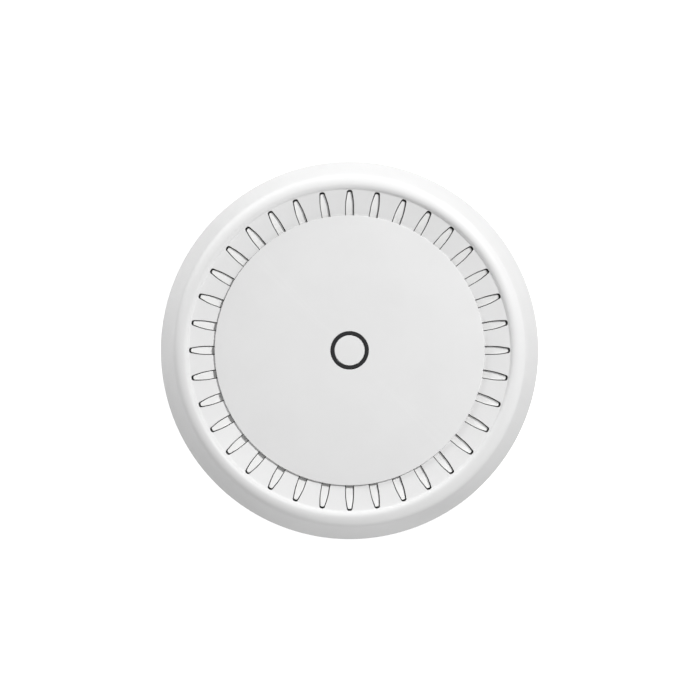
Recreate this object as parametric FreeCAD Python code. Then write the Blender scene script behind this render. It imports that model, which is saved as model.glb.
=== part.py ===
import FreeCAD, Part
import math
import os
from FreeCAD import Vector

# Ceiling access point: a round housing that hangs from a bayonet mounting ring. All sizes are in
# millimetres. The origin is the centre of the mounting ring's back face, where it meets the
# ceiling. +Z points from the ceiling to the face that people see, and the cable leaves along -Y.

# ---- Overall sizes ------------------------------------------------------------------------------
overall_diameter = 191.0
overall_height = 43.0
wall = 2.0

# ---- Clearances ---------------------------------------------------------------------------------
snug_gap = 0.1  # between pieces that locate each other
slide_gap = 0.2  # between pieces that slide or drop in
seam_gap = 0.4  # shadow line between the two shells
turn_gap = 0.5  # between the bayonet's pieces, across the axis
lock_gap = 0.4  # between the bayonet's pieces, along the axis
pilot_gap = 0.02  # between a screw and its pilot hole

# ---- Rim and vented trough of the front cover ---------------------------------------------------
flank_lean = 13.6  # degrees from upright
rim_outer_radius = 5.2  # rounding of the crest on its outer side
rim_inner_radius = 2.6  # and on the side of the trough
crest_flat = 0.2
rim_wall_slope = 62.0  # degrees, of the rim's wall down into the trough
rim_wall_drop = 2.2
trough_drop = 3.3  # from the foot of the rim to the edge of the face disc
deck_drop = 1.33  # from there on down to the deck
trough_foot_radius = 1.5
deck_edge_radius = 1.0
seam_height = 14.0

slot_count = 36
slot_width = 4.5
slot_tip_width = 2.5
slot_taper_length = 6.2
slot_taper_blend = 25.0
slot_tip_radius = 1.1
slot_tip_inset = 0.3  # from the foot of the rim
slot_reach = 5.3  # how far a slot runs in under the face disc
vent_pad_gap = 0.4  # beside the baffle's pads that stand in the slots
vent_pad_tip_gap = 1.0  # between the pads' ends and the slots' tips
vent_pad_drop = 1.2  # from the trough down to the pads

# ---- Face disc, light ring and mode button ------------------------------------------------------
disc_diameter = 136.6
disc_step = 1.2  # height of the disc's edge above the trough
disc_thickness = 1.6
disc_lip_width = 2.8
disc_lip_gap = 0.2
disc_edge_radius = 0.3
disc_foot_inset = 11.0  # from the disc's edge to the ring foot that rests on the deck
disc_foot_width = 1.4
snap_inset = 20.3  # from the disc's edge to the snap legs
snap_count = 6
snap_width = 8.0
snap_thickness = 1.8
snap_barb = 0.9

button_diameter = 15.2
button_edge_radius = 0.25
button_travel = 0.5
button_flange_overlap = 0.8
button_flange_thickness = 1.0
stem_radius = 2.4
light_ring_width = 1.85
light_ring_thickness = 1.4
light_ring_inset = 0.12
light_guide_wall = 1.05
light_guide_flange = 2.8
edge_break = 0.15  # softened edges of small plastic parts

# ---- Back shell ---------------------------------------------------------------------------------
back_gap = 1.5  # between the ceiling and the back shell
skirt_lean = 2.2  # how far the skirt leans in towards the ceiling
skirt_step = 0.35  # how far the skirt is set in from the cover's edge
skirt_radius = 6.0
recess_depth = 4.3
recess_draft = 0.6
back_edge_radius = 0.6
lip_height = 2.9
lip_thickness = 1.5

bay_half_width = 26.0
bay_low_y = -26.0
bay_high_y = 8.0
bay_wall = 1.6
bay_board_gap = 0.6  # between the bay's roof and the main board
trench_width = 15.0
trench_depth = 9.0

vent_pitch = 10.0  # degrees
vent_width = 2.4
vent_length = 10.5
vent_inset = 4.0  # from the recess to the vents

# ---- Bayonet mounting ring ----------------------------------------------------------------------
ring_radius = 60.5
ring_plate = 2.5
ring_wall = 2.0
ring_wall_height = 5.2
ring_bore_radius = 24.0
ring_collar_height = 4.0
ring_rib_height = 3.8
ring_rib_thickness = 1.6
ring_rib_count = 8
tab_count = 4
tab_first_angle = 45.0
tab_span = 18.0  # degrees
tab_reach = 2.4
tab_thickness = 1.5
stop_span = 2.0
stop_gap_angle = 0.6
unlock_angle = 22.0

ceiling_hole_circle = 96.0
ceiling_hole_radius = 2.25
ceiling_countersink_radius = 4.2
ceiling_countersink_depth = 1.2
box_slot_width = 4.4
box_slot_length = 9.0
round_box_spacing = 60.0
gang_box_spacing = 83.3

# ---- Screws -------------------------------------------------------------------------------------
case_screw_inset = 11.0  # from the outside of the housing to the screw's axis
case_screw_angles = (35.0, 145.0, 215.0, 325.0)
case_screw_radius = 1.5
case_head_radius = 2.9
case_head_height = 2.0
case_screw_bite = 12.0
case_post_radius = 4.2
case_post_height = 14.0  # above the floor of the recess
case_post_web = 3.0
case_boss_radius = 3.8
board_screw_inset = 5.0  # from the board's edge to the screw's axis
board_screw_angles = (70.0, 110.0, 250.0, 290.0)
board_screw_radius = 1.25
board_head_radius = 2.6
board_head_height = 1.6
board_screw_bite = 8.0
board_post_radius = 3.5
drive_radius = 1.1
drive_depth = 1.0
drive_lobes = 6
drive_lobe_radius = 0.28

# ---- Baffle behind the vents --------------------------------------------------------------------
baffle_thickness = 1.2
baffle_inner_step = 3.0  # how far the baffle starts outside the deck
baffle_outer_step = 0.9  # how far it runs past the foot of the rim
baffle_inner_gap = 1.6  # under the trough's wall
baffle_outer_gap = 2.9
stake_count = 12
stake_radius = 1.1
stake_head_radius = 1.9
stake_head_height = 0.8

# ---- Main board and what stands on it -----------------------------------------------------------
board_inset = 1.4  # from the recess to the board's edge
board_thickness = 1.6
led_count = 8
led_size = (0.8, 1.6, 0.8)
led_gap = 0.5  # between the lamps and the light guide
switch_size = 6.0
switch_height = 3.5
plunger_radius = 1.75
plunger_height = 0.9
plunger_sunk = 0.4

jack_width = 16.0
jack_length = 21.0
jack_height = 13.4
jack_spacing = 2.4  # between the two jacks
jack_mouth_inset = 0.4
jack_floor_gap = 0.5
jack_window_gap = 0.3
jack_shield_thickness = 0.3
jack_bay = (11.9, 14.0, 7.0)  # plug opening: width, depth, height
jack_bay_offset = 2.0  # from the insert's outer face to the opening
jack_latch = (6.4, 9.0, 1.4)
contact_count = 8
contact_pitch = 1.02
contact_width = 0.4

reset_x = 22.5
reset_drop = 3.9  # from the board to the button's axis
reset_radius = 1.5
reset_flange_radius = 2.3
reset_flange_thickness = 0.7
reset_proud = 1.2
reset_travel = 0.4
reset_switch_size = (7.0, 3.5, 6.3)
reset_plunger_radius = 1.0
reset_plunger_length = 0.9

shield_height = 3.0
shield_thickness = 0.25
shield_corner = 1.0
pad_thickness = 0.8
spreader_thickness = 1.5
spreader_half_width = 52.0
spreader_half_depth = 46.0
spreader_chamfer = 16.0
spreader_corner = 4.0
spreader_ring_gap = 2.85  # between the light guide and the spreader's bore
spreader_ear_radius = 4.6
spreader_neck = (12.0, 8.0)  # length and width of the bridge to each ear
fin_count = 9
fin_pitch = 5.0
fin_thickness = 1.2
fin_length = 26.0
fin_field_x = 32.0  # centre of each field of fins
fin_deck_gap = 2.6
standoff_angles = (25.0, 155.0, 205.0, 335.0)
standoff_radius = 2.75

antenna_inset = 13.2  # from the recess to the radiators
antenna_foil = 0.4
antenna_foot_length = 7.6
antenna_foot_width = 10.0
antenna_lift = 10.5  # height of the brackets
bracket_length = 5.0
bracket_width = 14.0
bracket_edge_gap = 0.6
bracket_frame = 2.5
lead_radius = 0.6
coax_place = (51.0, 14.0)  # of a socket, along and across its antenna's axis
coax_socket_size = 3.0
coax_socket_height = 0.7
coax_plug_radius = 1.3
coax_plug_height = 1.5

label_size = (46.0, 20.0)
label_y = 46.0
label_thickness = 0.2
label_corner = 1.5

# Shield lids, by centre x and y, width and depth.
shields = {
    "radio_shield_2ghz": (-35.0, 0.0, 26.0, 30.0),
    "radio_shield_5ghz": (35.0, 0.0, 26.0, 30.0),
    "processor_shield": (0.0, 33.0, 34.0, 24.0),
}

# Antennas, by their angle, the span of the radiator in degrees, and its height.
antennas = {
    "antenna_2ghz_a": (0.0, 32.0, 16.0),
    "antenna_2ghz_b": (180.0, 32.0, 16.0),
    "antenna_5ghz_a": (90.0, 18.0, 11.0),
    "antenna_5ghz_b": (250.0, 18.0, 11.0),
}

# Route of an antenna's lead from its foot to its plug, for the antenna on the X axis: x, y and the
# height above the antenna's foot at first, then x, y and the height above the board's top.
lead_start = [(75.0, 0.0, 1.0), (70.2, 0.5, 1.0), (66.6, 3.0, 3.4)]
lead_finish = [(65.0, 6.6, -2.3), (62.4, 10.2, 1.0), (57.8, 12.8, 2.3), (52.2, 14.0, 1.45)]

# ---- Levels and radii worked out from the sizes above -------------------------------------------
outer_radius = overall_diameter / 2
disc_radius = disc_diameter / 2
tab_radius = ring_radius + tab_reach
recess_radius = tab_radius + turn_gap
lug_radius = ring_radius + turn_gap
board_radius = recess_radius - board_inset
board_screw_circle = board_radius - board_screw_inset
case_screw_circle = outer_radius - case_screw_inset
antenna_circle = recess_radius + antenna_inset

recess_z = back_gap + recess_depth
floor_z = recess_z + wall
board_bottom = floor_z + jack_floor_gap + jack_height
board_top = board_bottom + board_thickness
bay_roof = board_bottom - bay_board_gap - bay_wall
trench_roof = back_gap + trench_depth
case_post_top = recess_z + case_post_height
seam_z = seam_height - seam_gap
tab_bottom = ring_wall_height - tab_thickness

rim_crest_outer = outer_radius - (overall_height - seam_height) * math.tan(math.radians(flank_lean))
rim_crest_inner = (
    rim_crest_outer
    - rim_outer_radius * math.tan(math.radians((90 - flank_lean) / 2))
    - crest_flat
    - rim_inner_radius * math.tan(math.radians(rim_wall_slope / 2))
)
rim_foot = rim_crest_inner - rim_wall_drop / math.tan(math.radians(rim_wall_slope))
rim_foot_z = overall_height - rim_wall_drop
trough_edge_z = rim_foot_z - trough_drop
deck_radius = disc_radius - slot_reach
deck_top = trough_edge_z - deck_drop
trough_slope = (rim_foot_z - deck_top) / (rim_foot - deck_radius)
deck_bottom = deck_top - wall
disc_top = trough_edge_z + disc_step
disc_bottom = disc_top - disc_thickness
snap_circle = disc_radius - snap_inset

button_radius = button_diameter / 2
light_ring_inner = button_radius + slide_gap
light_ring_outer = light_ring_inner + light_ring_width
light_ring_top = disc_top - light_ring_inset
light_ring_bottom = light_ring_top - light_ring_thickness
light_guide_inner = light_ring_outer - light_guide_wall
light_guide_bottom = board_top + led_size[2] + led_gap
switch_top = board_top + switch_height
plunger_top = switch_top + plunger_height

shield_top = board_top + shield_height
spreader_bottom = shield_top + pad_thickness
spreader_top = spreader_bottom + spreader_thickness
spreader_bore = light_ring_outer + spreader_ring_gap
fin_top = deck_bottom - fin_deck_gap

jack_low = floor_z + jack_floor_gap
jack_face = bay_high_y + jack_mouth_inset
jack_centres = [side * (jack_width + jack_spacing) / 2 for side in (-1, 1)]
bay_inner_y = bay_high_y + bay_wall
reset_z = board_bottom - reset_drop
reset_switch_y = bay_inner_y + slide_gap + reset_flange_thickness + reset_plunger_length

antenna_foot_z = back_gap + wall + antenna_lift
antenna_angles = [angle for angle, _, _ in antennas.values()]
lead_points = [Vector(x, y, antenna_foot_z + rise) for x, y, rise in lead_start]
lead_points += [Vector(x, y, board_top + rise) for x, y, rise in lead_finish]
stake_angle = 180.0 / slot_count

baffle_inner = deck_radius + baffle_inner_step
baffle_outer = rim_foot + baffle_outer_step
stake_circle = (baffle_inner + baffle_outer) / 2


# ---- Shapes that many pieces use ----------------------------------------------------------------
def rounded_path(points, radii, closed):
    """A wire of straight runs through the points, with a tangent arc of the given radius at each."""
    count = len(points)
    ends = []
    for i, (point, radius) in enumerate(zip(points, radii)):
        if radius <= 0:
            ends.append((point, None, point))
            continue
        back = (points[i - 1] - point).normalize()
        ahead = (points[(i + 1) % count] - point).normalize()
        half = back.getAngle(ahead) / 2
        reach = radius / math.tan(half)
        inward = (back + ahead).normalize()
        middle = point + inward * (radius / math.sin(half) - radius)
        ends.append((point + back * reach, middle, point + ahead * reach))
    edges = []
    for i, (start, middle, end) in enumerate(ends):
        if middle is not None:
            edges.append(Part.Arc(start, middle, end).toShape())
        if closed or i < count - 1:
            following = ends[(i + 1) % count][0]
            if end.distanceToPoint(following) > 1e-6:
                edges.append(Part.makeLine(end, following))
    return Part.Wire(edges)


def revolved(corners):
    """The solid that a section of (radius, z, corner radius) values makes about the Z axis."""
    points = [Vector(x, 0, z) for x, z, _ in corners]
    face = Part.Face(rounded_path(points, [radius for _, _, radius in corners], True))
    return face.revolve(Vector(0, 0, 0), Vector(0, 0, 1), 360)


def plate(corners, low, high):
    """A flat plate from (x, y, corner radius) values, between two heights."""
    points = [Vector(x, y, low) for x, y, _ in corners]
    face = Part.Face(rounded_path(points, [radius for _, _, radius in corners], True))
    return face.extrude(Vector(0, 0, high - low))


def rounded_rectangle(low, high, radius):
    """The corners of a rectangle, for plate()."""
    return [
        (low[0], low[1], radius),
        (high[0], low[1], radius),
        (high[0], high[1], radius),
        (low[0], high[1], radius),
    ]


def offset_section(corners, distance):
    """An open section moved to its left by distance, with its arcs kept concentric."""
    runs = []
    for (x0, z0, _), (x1, z1, _) in zip(corners, corners[1:]):
        length = math.hypot(x1 - x0, z1 - z0)
        runs.append(((x1 - x0) / length, (z1 - z0) / length))
    moved = []
    for i, (x, z, radius) in enumerate(corners):
        before = runs[max(i - 1, 0)]
        after = runs[min(i, len(runs) - 1)]
        share = distance / (1 + before[0] * after[0] + before[1] * after[1])
        turn = before[0] * after[1] - before[1] * after[0]
        if radius > 0:
            radius = max(radius - math.copysign(1, turn) * distance, edge_break)
        moved.append(
            (x - (before[1] + after[1]) * share, z + (before[0] + after[0]) * share, radius)
        )
    return moved


def disc(radius, low, high):
    return Part.makeCylinder(radius, high - low, Vector(0, 0, low))


def tube(inner, outer, low, high):
    return disc(outer, low, high).cut(disc(inner, low - 1, high + 1))


def sector(inner, outer, low, high, start, span):
    """Part of a tube, from the start angle on, in degrees."""
    wedge = Part.makeCylinder(outer, high - low, Vector(0, 0, low), Vector(0, 0, 1), span)
    wedge = wedge.cut(disc(inner, low - 1, high + 1))
    wedge.rotate(Vector(0, 0, 0), Vector(0, 0, 1), start)
    return wedge


def block(low, high):
    """A box between two corners."""
    size = [b - a for a, b in zip(low, high)]
    return Part.makeBox(*size, Vector(*low))


def standing_block(x, y, low, size):
    """A box of (width, depth, height) that stands at a height, centred on x and y."""
    width, depth, height = size
    return block(
        (x - width / 2, y - depth / 2, low), (x + width / 2, y + depth / 2, low + height)
    )


def rod(radius, start, end):
    return Part.makeCylinder(radius, start.distanceToPoint(end), start, end - start)


def at(shape, x, y=0.0, z=0.0):
    """The shape itself, moved from the axis to a place."""
    shape.translate(Vector(x, y, z))
    return shape


def turned(shape, angle):
    """A copy of a shape, turned about the Z axis."""
    copy = shape.copy()
    copy.rotate(Vector(0, 0, 0), Vector(0, 0, 1), angle)
    return copy


def ring_of(shape, angles):
    return Part.makeCompound([turned(shape, angle) for angle in angles])


def even_angles(count, first=0.0):
    return [first + 360.0 / count * i for i in range(count)]


def pan_screw(radius, head_radius, head_height, length):
    """A pan-head screw on the Z axis: its head stands on z = 0 and has a lobed drive socket."""
    dome = head_height * 0.45
    head = revolved(
        [
            (0, head_height, 0),
            (head_radius, head_height, dome),
            (head_radius, 0, 0),
            (0, 0, 0),
        ]
    )
    socket_low = head_height - drive_depth
    socket = disc(drive_radius - drive_lobe_radius, socket_low, head_height + 1)
    lobe = at(disc(drive_lobe_radius, socket_low, head_height + 1), drive_radius - drive_lobe_radius)
    cuts = [socket, ring_of(lobe, even_angles(drive_lobes))]
    return head.fuse(disc(radius, -length, 0)).removeSplitter().cut(cuts)


# ---- Front cover --------------------------------------------------------------------------------
def cover_solid(inset):
    """The cover's outer form as a full solid, or the hollow inside it when inset is the wall."""
    section = [
        (outer_radius, seam_height, 0),
        (rim_crest_outer, overall_height, rim_outer_radius),
        (rim_crest_inner, overall_height, rim_inner_radius),
        (rim_foot, rim_foot_z, trough_foot_radius),
        (deck_radius, deck_top, deck_edge_radius),
        (0, deck_top, 0),
    ]
    section = offset_section(section, inset)
    return revolved(section + [(0, section[0][1], 0)])


def vent_prism(inner, gap, tip_gap, low, high):
    """A vent slot's form, raised upright: straight sides, a taper and a blunt rounded tip."""
    half, tip_half = slot_width / 2 - gap, slot_tip_width / 2 - gap
    tip = rim_foot - slot_tip_inset
    side = [
        (inner, half, 0),
        (tip - slot_taper_length, half, slot_taper_blend),
        (tip - tip_gap, tip_half, slot_tip_radius - gap),
    ]
    other = [(x, -y, radius) for x, y, radius in reversed(side)]
    return plate(side + other, low, high)


def vent_slot():
    return vent_prism(deck_radius, 0.0, 0.0, deck_bottom - 1, overall_height)


def snap_window():
    inner = snap_circle - snap_thickness / 2 - slide_gap
    outer = snap_circle + snap_thickness / 2 + 2 * slide_gap
    half = snap_width / 2 + slide_gap
    return block((inner, -half, deck_bottom - 1), (outer, half, deck_top + 1))


def baffle_stake():
    """A pin under the trough whose head, melted over the baffle, holds it."""
    head_top = baffle_bottom(stake_circle - stake_head_radius)
    head_bottom = head_top - stake_head_height
    pin = disc(stake_radius, head_bottom, trough_surface(stake_circle) - wall / 2)
    return at(pin.fuse(disc(stake_head_radius, head_bottom, head_top)), stake_circle)


def front_cover():
    envelope = cover_solid(0)
    boss = at(disc(case_boss_radius, case_post_top, overall_height), case_screw_circle)
    bosses = ring_of(boss, case_screw_angles).common(envelope)
    stakes = ring_of(baffle_stake(), even_angles(stake_count, stake_angle))
    shell = envelope.cut(cover_solid(wall)).fuse([bosses, stakes])
    pilot = disc(case_screw_radius + pilot_gap, 0, case_post_top + case_screw_bite + 1)
    cuts = [
        ring_of(at(pilot, case_screw_circle), case_screw_angles),
        ring_of(vent_slot(), even_angles(slot_count)),
        ring_of(snap_window(), even_angles(snap_count)),
        disc(light_ring_outer + snug_gap, deck_bottom - 1, deck_top + 1),
    ]
    return shell.cut(cuts).removeSplitter()


# ---- Baffle behind the vents --------------------------------------------------------------------
def trough_surface(radius):
    return deck_top + (radius - deck_radius) * trough_slope


def baffle_top(radius):
    low = trough_surface(baffle_inner) - wall - baffle_inner_gap
    high = trough_surface(rim_foot) - wall - baffle_outer_gap
    share = (radius - baffle_inner) / (baffle_outer - baffle_inner)
    return low + (high - low) * share


def baffle_bottom(radius):
    return baffle_top(radius) - baffle_thickness


def vent_pads():
    """Pads on the baffle that stand in the slots and leave a narrow air gap round themselves."""
    levels = revolved(
        [
            (baffle_inner, baffle_bottom(baffle_inner) + baffle_thickness / 2, 0),
            (baffle_outer, baffle_bottom(baffle_outer) + baffle_thickness / 2, 0),
            (baffle_outer, trough_surface(baffle_outer) - vent_pad_drop, 0),
            (baffle_inner, trough_surface(baffle_inner) - vent_pad_drop, 0),
        ]
    )
    inner = baffle_inner + vent_pad_gap
    prism = vent_prism(inner, vent_pad_gap, vent_pad_tip_gap, deck_bottom - 4, overall_height)
    return ring_of(prism.common(levels), even_angles(slot_count))


def vent_baffle():
    body = revolved(
        [
            (baffle_inner, baffle_bottom(baffle_inner), 0),
            (baffle_outer, baffle_bottom(baffle_outer), 0),
            (baffle_outer, baffle_top(baffle_outer), 0),
            (baffle_inner, baffle_top(baffle_inner), 0),
        ]
    )
    hole = at(disc(stake_radius + snug_gap, 0, overall_height), stake_circle)
    scallop = at(disc(case_boss_radius + turn_gap, 0, overall_height), case_screw_circle)
    padded = body.fuse(vent_pads())
    return padded.cut(
        [
            ring_of(hole, even_angles(stake_count, stake_angle)),
            ring_of(scallop, case_screw_angles),
        ]
    ).removeSplitter()


# ---- Face disc, light ring, light guide and mode button -----------------------------------------
def snap_leg():
    """A leg that hooks its barb under the deck."""
    barb_top = deck_bottom - snug_gap
    barb_bottom = barb_top - snap_barb
    outer = snap_circle + snap_thickness / 2
    half = snap_width / 2
    leg = block(
        (outer - snap_thickness, -half, barb_bottom), (outer, half, disc_bottom + disc_thickness / 2)
    )
    corners = [
        Vector(outer, -half, barb_top),
        Vector(outer + snap_barb, -half, barb_top),
        Vector(outer, -half, barb_bottom),
    ]
    barb = Part.Face(Part.makePolygon(corners + corners[:1])).extrude(Vector(0, snap_width, 0))
    return leg.fuse(barb)


def face_disc():
    lip = disc_radius - disc_lip_width
    lip_bottom = trough_edge_z + disc_lip_gap
    bore = light_ring_outer + snug_gap
    body = revolved(
        [
            (bore, disc_bottom, 0),
            (lip, disc_bottom, 0),
            (lip, lip_bottom, 0),
            (disc_radius, lip_bottom, 0),
            (disc_radius, disc_top, disc_edge_radius),
            (bore, disc_top, edge_break),
        ]
    )
    foot_outer = disc_radius - disc_foot_inset
    foot = tube(foot_outer - disc_foot_width, foot_outer, deck_top, disc_bottom + disc_thickness / 2)
    legs = ring_of(snap_leg(), even_angles(snap_count))
    return body.fuse([foot, legs]).removeSplitter()


def light_ring():
    return revolved(
        [
            (light_ring_inner, light_ring_bottom, 0),
            (light_ring_outer, light_ring_bottom, 0),
            (light_ring_outer, light_ring_top, edge_break),
            (light_ring_inner, light_ring_top, edge_break),
        ]
    )


def light_guide():
    flange_top = disc_bottom - snug_gap
    column = tube(light_guide_inner, light_ring_outer, light_guide_bottom, light_ring_bottom)
    flange = tube(light_guide_inner, light_ring_outer + light_guide_flange, deck_top, flange_top)
    return column.fuse(flange).removeSplitter()


def mode_button():
    flange_radius = button_radius + button_flange_overlap
    flange_top = light_ring_bottom - slide_gap
    flange_bottom = flange_top - button_flange_thickness
    cap = revolved(
        [
            (0, flange_bottom, 0),
            (flange_radius, flange_bottom, edge_break),
            (flange_radius, flange_top, 0),
            (button_radius, flange_top, 0),
            (button_radius, disc_top, button_edge_radius),
            (0, disc_top, 0),
        ]
    )
    stem = disc(stem_radius, plunger_top, flange_bottom + button_flange_thickness / 2)
    return cap.fuse(stem).removeSplitter()


def mode_switch_plunger():
    return disc(plunger_radius, switch_top - plunger_sunk, plunger_top)


def mode_switch_body():
    body = standing_block(0, 0, board_top, (switch_size, switch_size, switch_height))
    well_floor = switch_top - plunger_sunk - button_travel - snug_gap
    return body.cut(disc(plunger_radius + snug_gap, well_floor, switch_top + 1))


# ---- Back shell ---------------------------------------------------------------------------------
def back_solid(inset):
    """The back shell's outer form as a full solid, or the hollow inside it."""
    section = [
        (outer_radius - skirt_step, seam_z, 0),
        (outer_radius - skirt_step - skirt_lean, back_gap, skirt_radius),
        (recess_radius + recess_draft, back_gap, back_edge_radius),
        (recess_radius, recess_z, back_edge_radius),
        (0, recess_z, 0),
    ]
    section = offset_section(section, -inset)
    return revolved(section + [(0, section[0][1], 0)])


def port_bay(margin, low, high):
    """The pocket where the cables plug in, grown by a margin on its sides."""
    return block(
        (-bay_half_width - margin, bay_low_y - margin, low),
        (bay_half_width + margin, bay_high_y + margin, high),
    )


def cable_trench(margin, high):
    """The channel that leads a surface-run cable out to the side."""
    half = trench_width / 2 + margin
    return block((-half, -outer_radius - 1, 0), (half, bay_low_y + 1, high))


def jack_windows():
    half = jack_width / 2 + jack_window_gap
    low = jack_low - jack_window_gap
    return [
        block((x - half, bay_high_y - 1, low), (x + half, bay_inner_y + 1, board_bottom))
        for x in jack_centres
    ]


def back_vents():
    """Slots for cool air, except where the cable trench and the antennas' brackets are."""
    inner = recess_radius + vent_inset
    half = vent_width / 2
    slot = plate(
        rounded_rectangle((inner, -half), (inner + vent_length, half), half - 0.01),
        back_gap - 1,
        back_gap + wall + 1,
    )
    trench_reach = math.degrees((trench_width / 2 + wall + half) / inner)
    bracket_reach = math.degrees((bracket_width / 2 + half) / inner)
    kept_clear = [(270.0, trench_reach)] + [(angle, bracket_reach) for angle in antenna_angles]
    angles = [
        angle
        for angle in even_angles(round(360.0 / vent_pitch))
        if all(abs(angle - middle) > reach for middle, reach in kept_clear)
    ]
    return ring_of(slot, angles)


def shell_lip():
    """The ring that stands up inside the front cover and centres it."""
    lean = math.radians(flank_lean)
    top = seam_height + lip_height - seam_gap
    outer = outer_radius - wall / math.cos(lean) - (top - seam_height) * math.tan(lean) - slide_gap
    inner = outer - lip_thickness
    foot = tube(inner, outer_radius, seam_z - wall, seam_z).common(back_solid(0))
    return tube(inner, outer, seam_z - wall, top).fuse(foot)


def base_shell():
    envelope = back_solid(0)
    blocks = [port_bay(bay_wall, 0, bay_roof + bay_wall), cable_trench(bay_wall, trench_roof + bay_wall)]
    shell = envelope.cut(back_solid(wall).cut(blocks))
    case_post = at(disc(case_post_radius, back_gap, case_post_top), case_screw_circle)
    above_seam = disc(outer_radius - skirt_radius, seam_z - wall, case_post_top)
    board_post = at(disc(board_post_radius, recess_z, board_bottom), board_screw_circle)
    lug = sector(
        lug_radius, recess_radius + wall, back_gap, tab_bottom - lock_gap, -tab_span / 2, tab_span
    )
    shell = shell.fuse(
        [
            port_bay(bay_wall, recess_z + wall / 2, bay_roof + bay_wall),
            shell_lip(),
            ring_of(case_post, case_screw_angles).common(envelope.fuse(above_seam)),
            ring_of(board_post, board_screw_angles),
            ring_of(lug, even_angles(tab_count, tab_first_angle)),
        ]
    )
    counterbore = disc(case_head_radius + slide_gap, 0, case_post_top - case_post_web)
    screw_hole = disc(case_screw_radius + slide_gap, 0, case_post_top + 1)
    pilot = disc(board_screw_radius + pilot_gap, board_bottom - board_screw_bite - 1, board_top)
    reset_hole = rod(
        reset_radius + slide_gap,
        Vector(reset_x, bay_high_y - 1, reset_z),
        Vector(reset_x, bay_inner_y + 1, reset_z),
    )
    cuts = [
        port_bay(0, 0, bay_roof),
        cable_trench(0, trench_roof),
        ring_of(at(counterbore, case_screw_circle), case_screw_angles),
        ring_of(at(screw_hole, case_screw_circle), case_screw_angles),
        ring_of(at(pilot, board_screw_circle), board_screw_angles),
        reset_hole,
        back_vents(),
    ]
    return shell.cut(cuts + jack_windows()).removeSplitter()


# ---- Mounting ring ------------------------------------------------------------------------------
def box_slot(x, y, along_x):
    """A slotted screw hole for a wall box, with its length along X or along Y."""
    reach, half = box_slot_length / 2, box_slot_width / 2
    across = (reach, half) if along_x else (half, reach)
    low, high = (x - across[0], y - across[1]), (x + across[0], y + across[1])
    return plate(rounded_rectangle(low, high, half - 1e-4), -1, ring_plate + 1)


def ceiling_hole():
    """A countersunk screw hole, open towards the room."""
    cone_low = ring_plate - ceiling_countersink_depth
    cone = Part.makeCone(
        ceiling_hole_radius,
        ceiling_countersink_radius,
        ceiling_countersink_depth,
        Vector(0, 0, cone_low),
    )
    return at(disc(ceiling_hole_radius, -1, ring_plate + 1).fuse(cone), ceiling_hole_circle / 2)


def bayonet_tabs():
    """Tabs that hold the housing's lugs, each between two stops."""
    root = ring_radius - ring_wall / 2
    tab = sector(root, tab_radius, tab_bottom, ring_wall_height, -tab_span / 2, tab_span)
    starts = (
        -tab_span / 2 - stop_gap_angle - stop_span,
        tab_span / 2 + unlock_angle + stop_gap_angle,
    )
    stops = [
        sector(root, tab_radius, back_gap + lock_gap, ring_wall_height, start, stop_span)
        for start in starts
    ]
    return Part.makeCompound([tab] + stops)


def mounting_ring():
    rib = block(
        (ring_bore_radius + ring_wall / 2, -ring_rib_thickness / 2, 0),
        (ring_radius - ring_wall / 2, ring_rib_thickness / 2, ring_rib_height),
    )
    body = disc(ring_radius, 0, ring_plate).fuse(
        [
            tube(ring_radius - ring_wall, ring_radius, 0, ring_wall_height),
            disc(ring_bore_radius + ring_wall, 0, ring_collar_height),
            ring_of(rib, even_angles(ring_rib_count, 180.0 / ring_rib_count)),
            ring_of(bayonet_tabs(), even_angles(tab_count, tab_first_angle)),
        ]
    )
    half = trench_width / 2
    cable_gate = block(
        (-half, -tab_radius, ring_plate), (half, -ring_radius + 2 * ring_wall, ring_wall_height + 1)
    )
    cuts = [
        disc(ring_bore_radius, -1, overall_height),
        ring_of(ceiling_hole(), even_angles(4, 45.0)),
        cable_gate,
    ]
    cuts += [box_slot(side * round_box_spacing / 2, 0, True) for side in (-1, 1)]
    cuts += [box_slot(0, side * gang_box_spacing / 2, False) for side in (-1, 1)]
    return body.cut(cuts).removeSplitter()


# ---- Screws -------------------------------------------------------------------------------------
def case_screws():
    """They go in from the back, so their heads point at the ceiling."""
    screw = pan_screw(
        case_screw_radius, case_head_radius, case_head_height, case_post_web + case_screw_bite
    )
    screw.rotate(Vector(0, 0, 0), Vector(1, 0, 0), 180)
    return ring_of(
        at(screw, case_screw_circle, 0, case_post_top - case_post_web), case_screw_angles
    )


def board_screws():
    length = board_thickness + board_screw_bite
    screw = pan_screw(board_screw_radius, board_head_radius, board_head_height, length)
    return ring_of(at(screw, board_screw_circle, 0, board_top), board_screw_angles)


def spreader_standoffs():
    standoff = tube(board_screw_radius + snug_gap, standoff_radius, board_top, spreader_bottom)
    return ring_of(at(standoff, board_screw_circle), standoff_angles)


def spreader_screws():
    length = spreader_top - board_bottom
    screw = pan_screw(board_screw_radius, board_head_radius, board_head_height, length)
    return ring_of(at(screw, board_screw_circle, 0, spreader_top), standoff_angles)


# ---- Main board ---------------------------------------------------------------------------------
def main_board():
    hole = at(disc(board_screw_radius + snug_gap, 0, overall_height), board_screw_circle)
    board = disc(board_radius, board_bottom, board_top)
    return board.cut(ring_of(hole, board_screw_angles + standoff_angles))


def status_leds():
    lamp = standing_block((light_guide_inner + light_ring_outer) / 2, 0, board_top, led_size)
    return ring_of(lamp, even_angles(led_count, 180.0 / led_count))


def upright_rounded(solid, height, radius):
    """A box with its four upright edges rounded."""
    upright = [edge for edge in solid.Edges if abs(edge.BoundBox.ZLength - height) < 1e-6]
    return solid.makeFillet(radius, upright)


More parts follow.
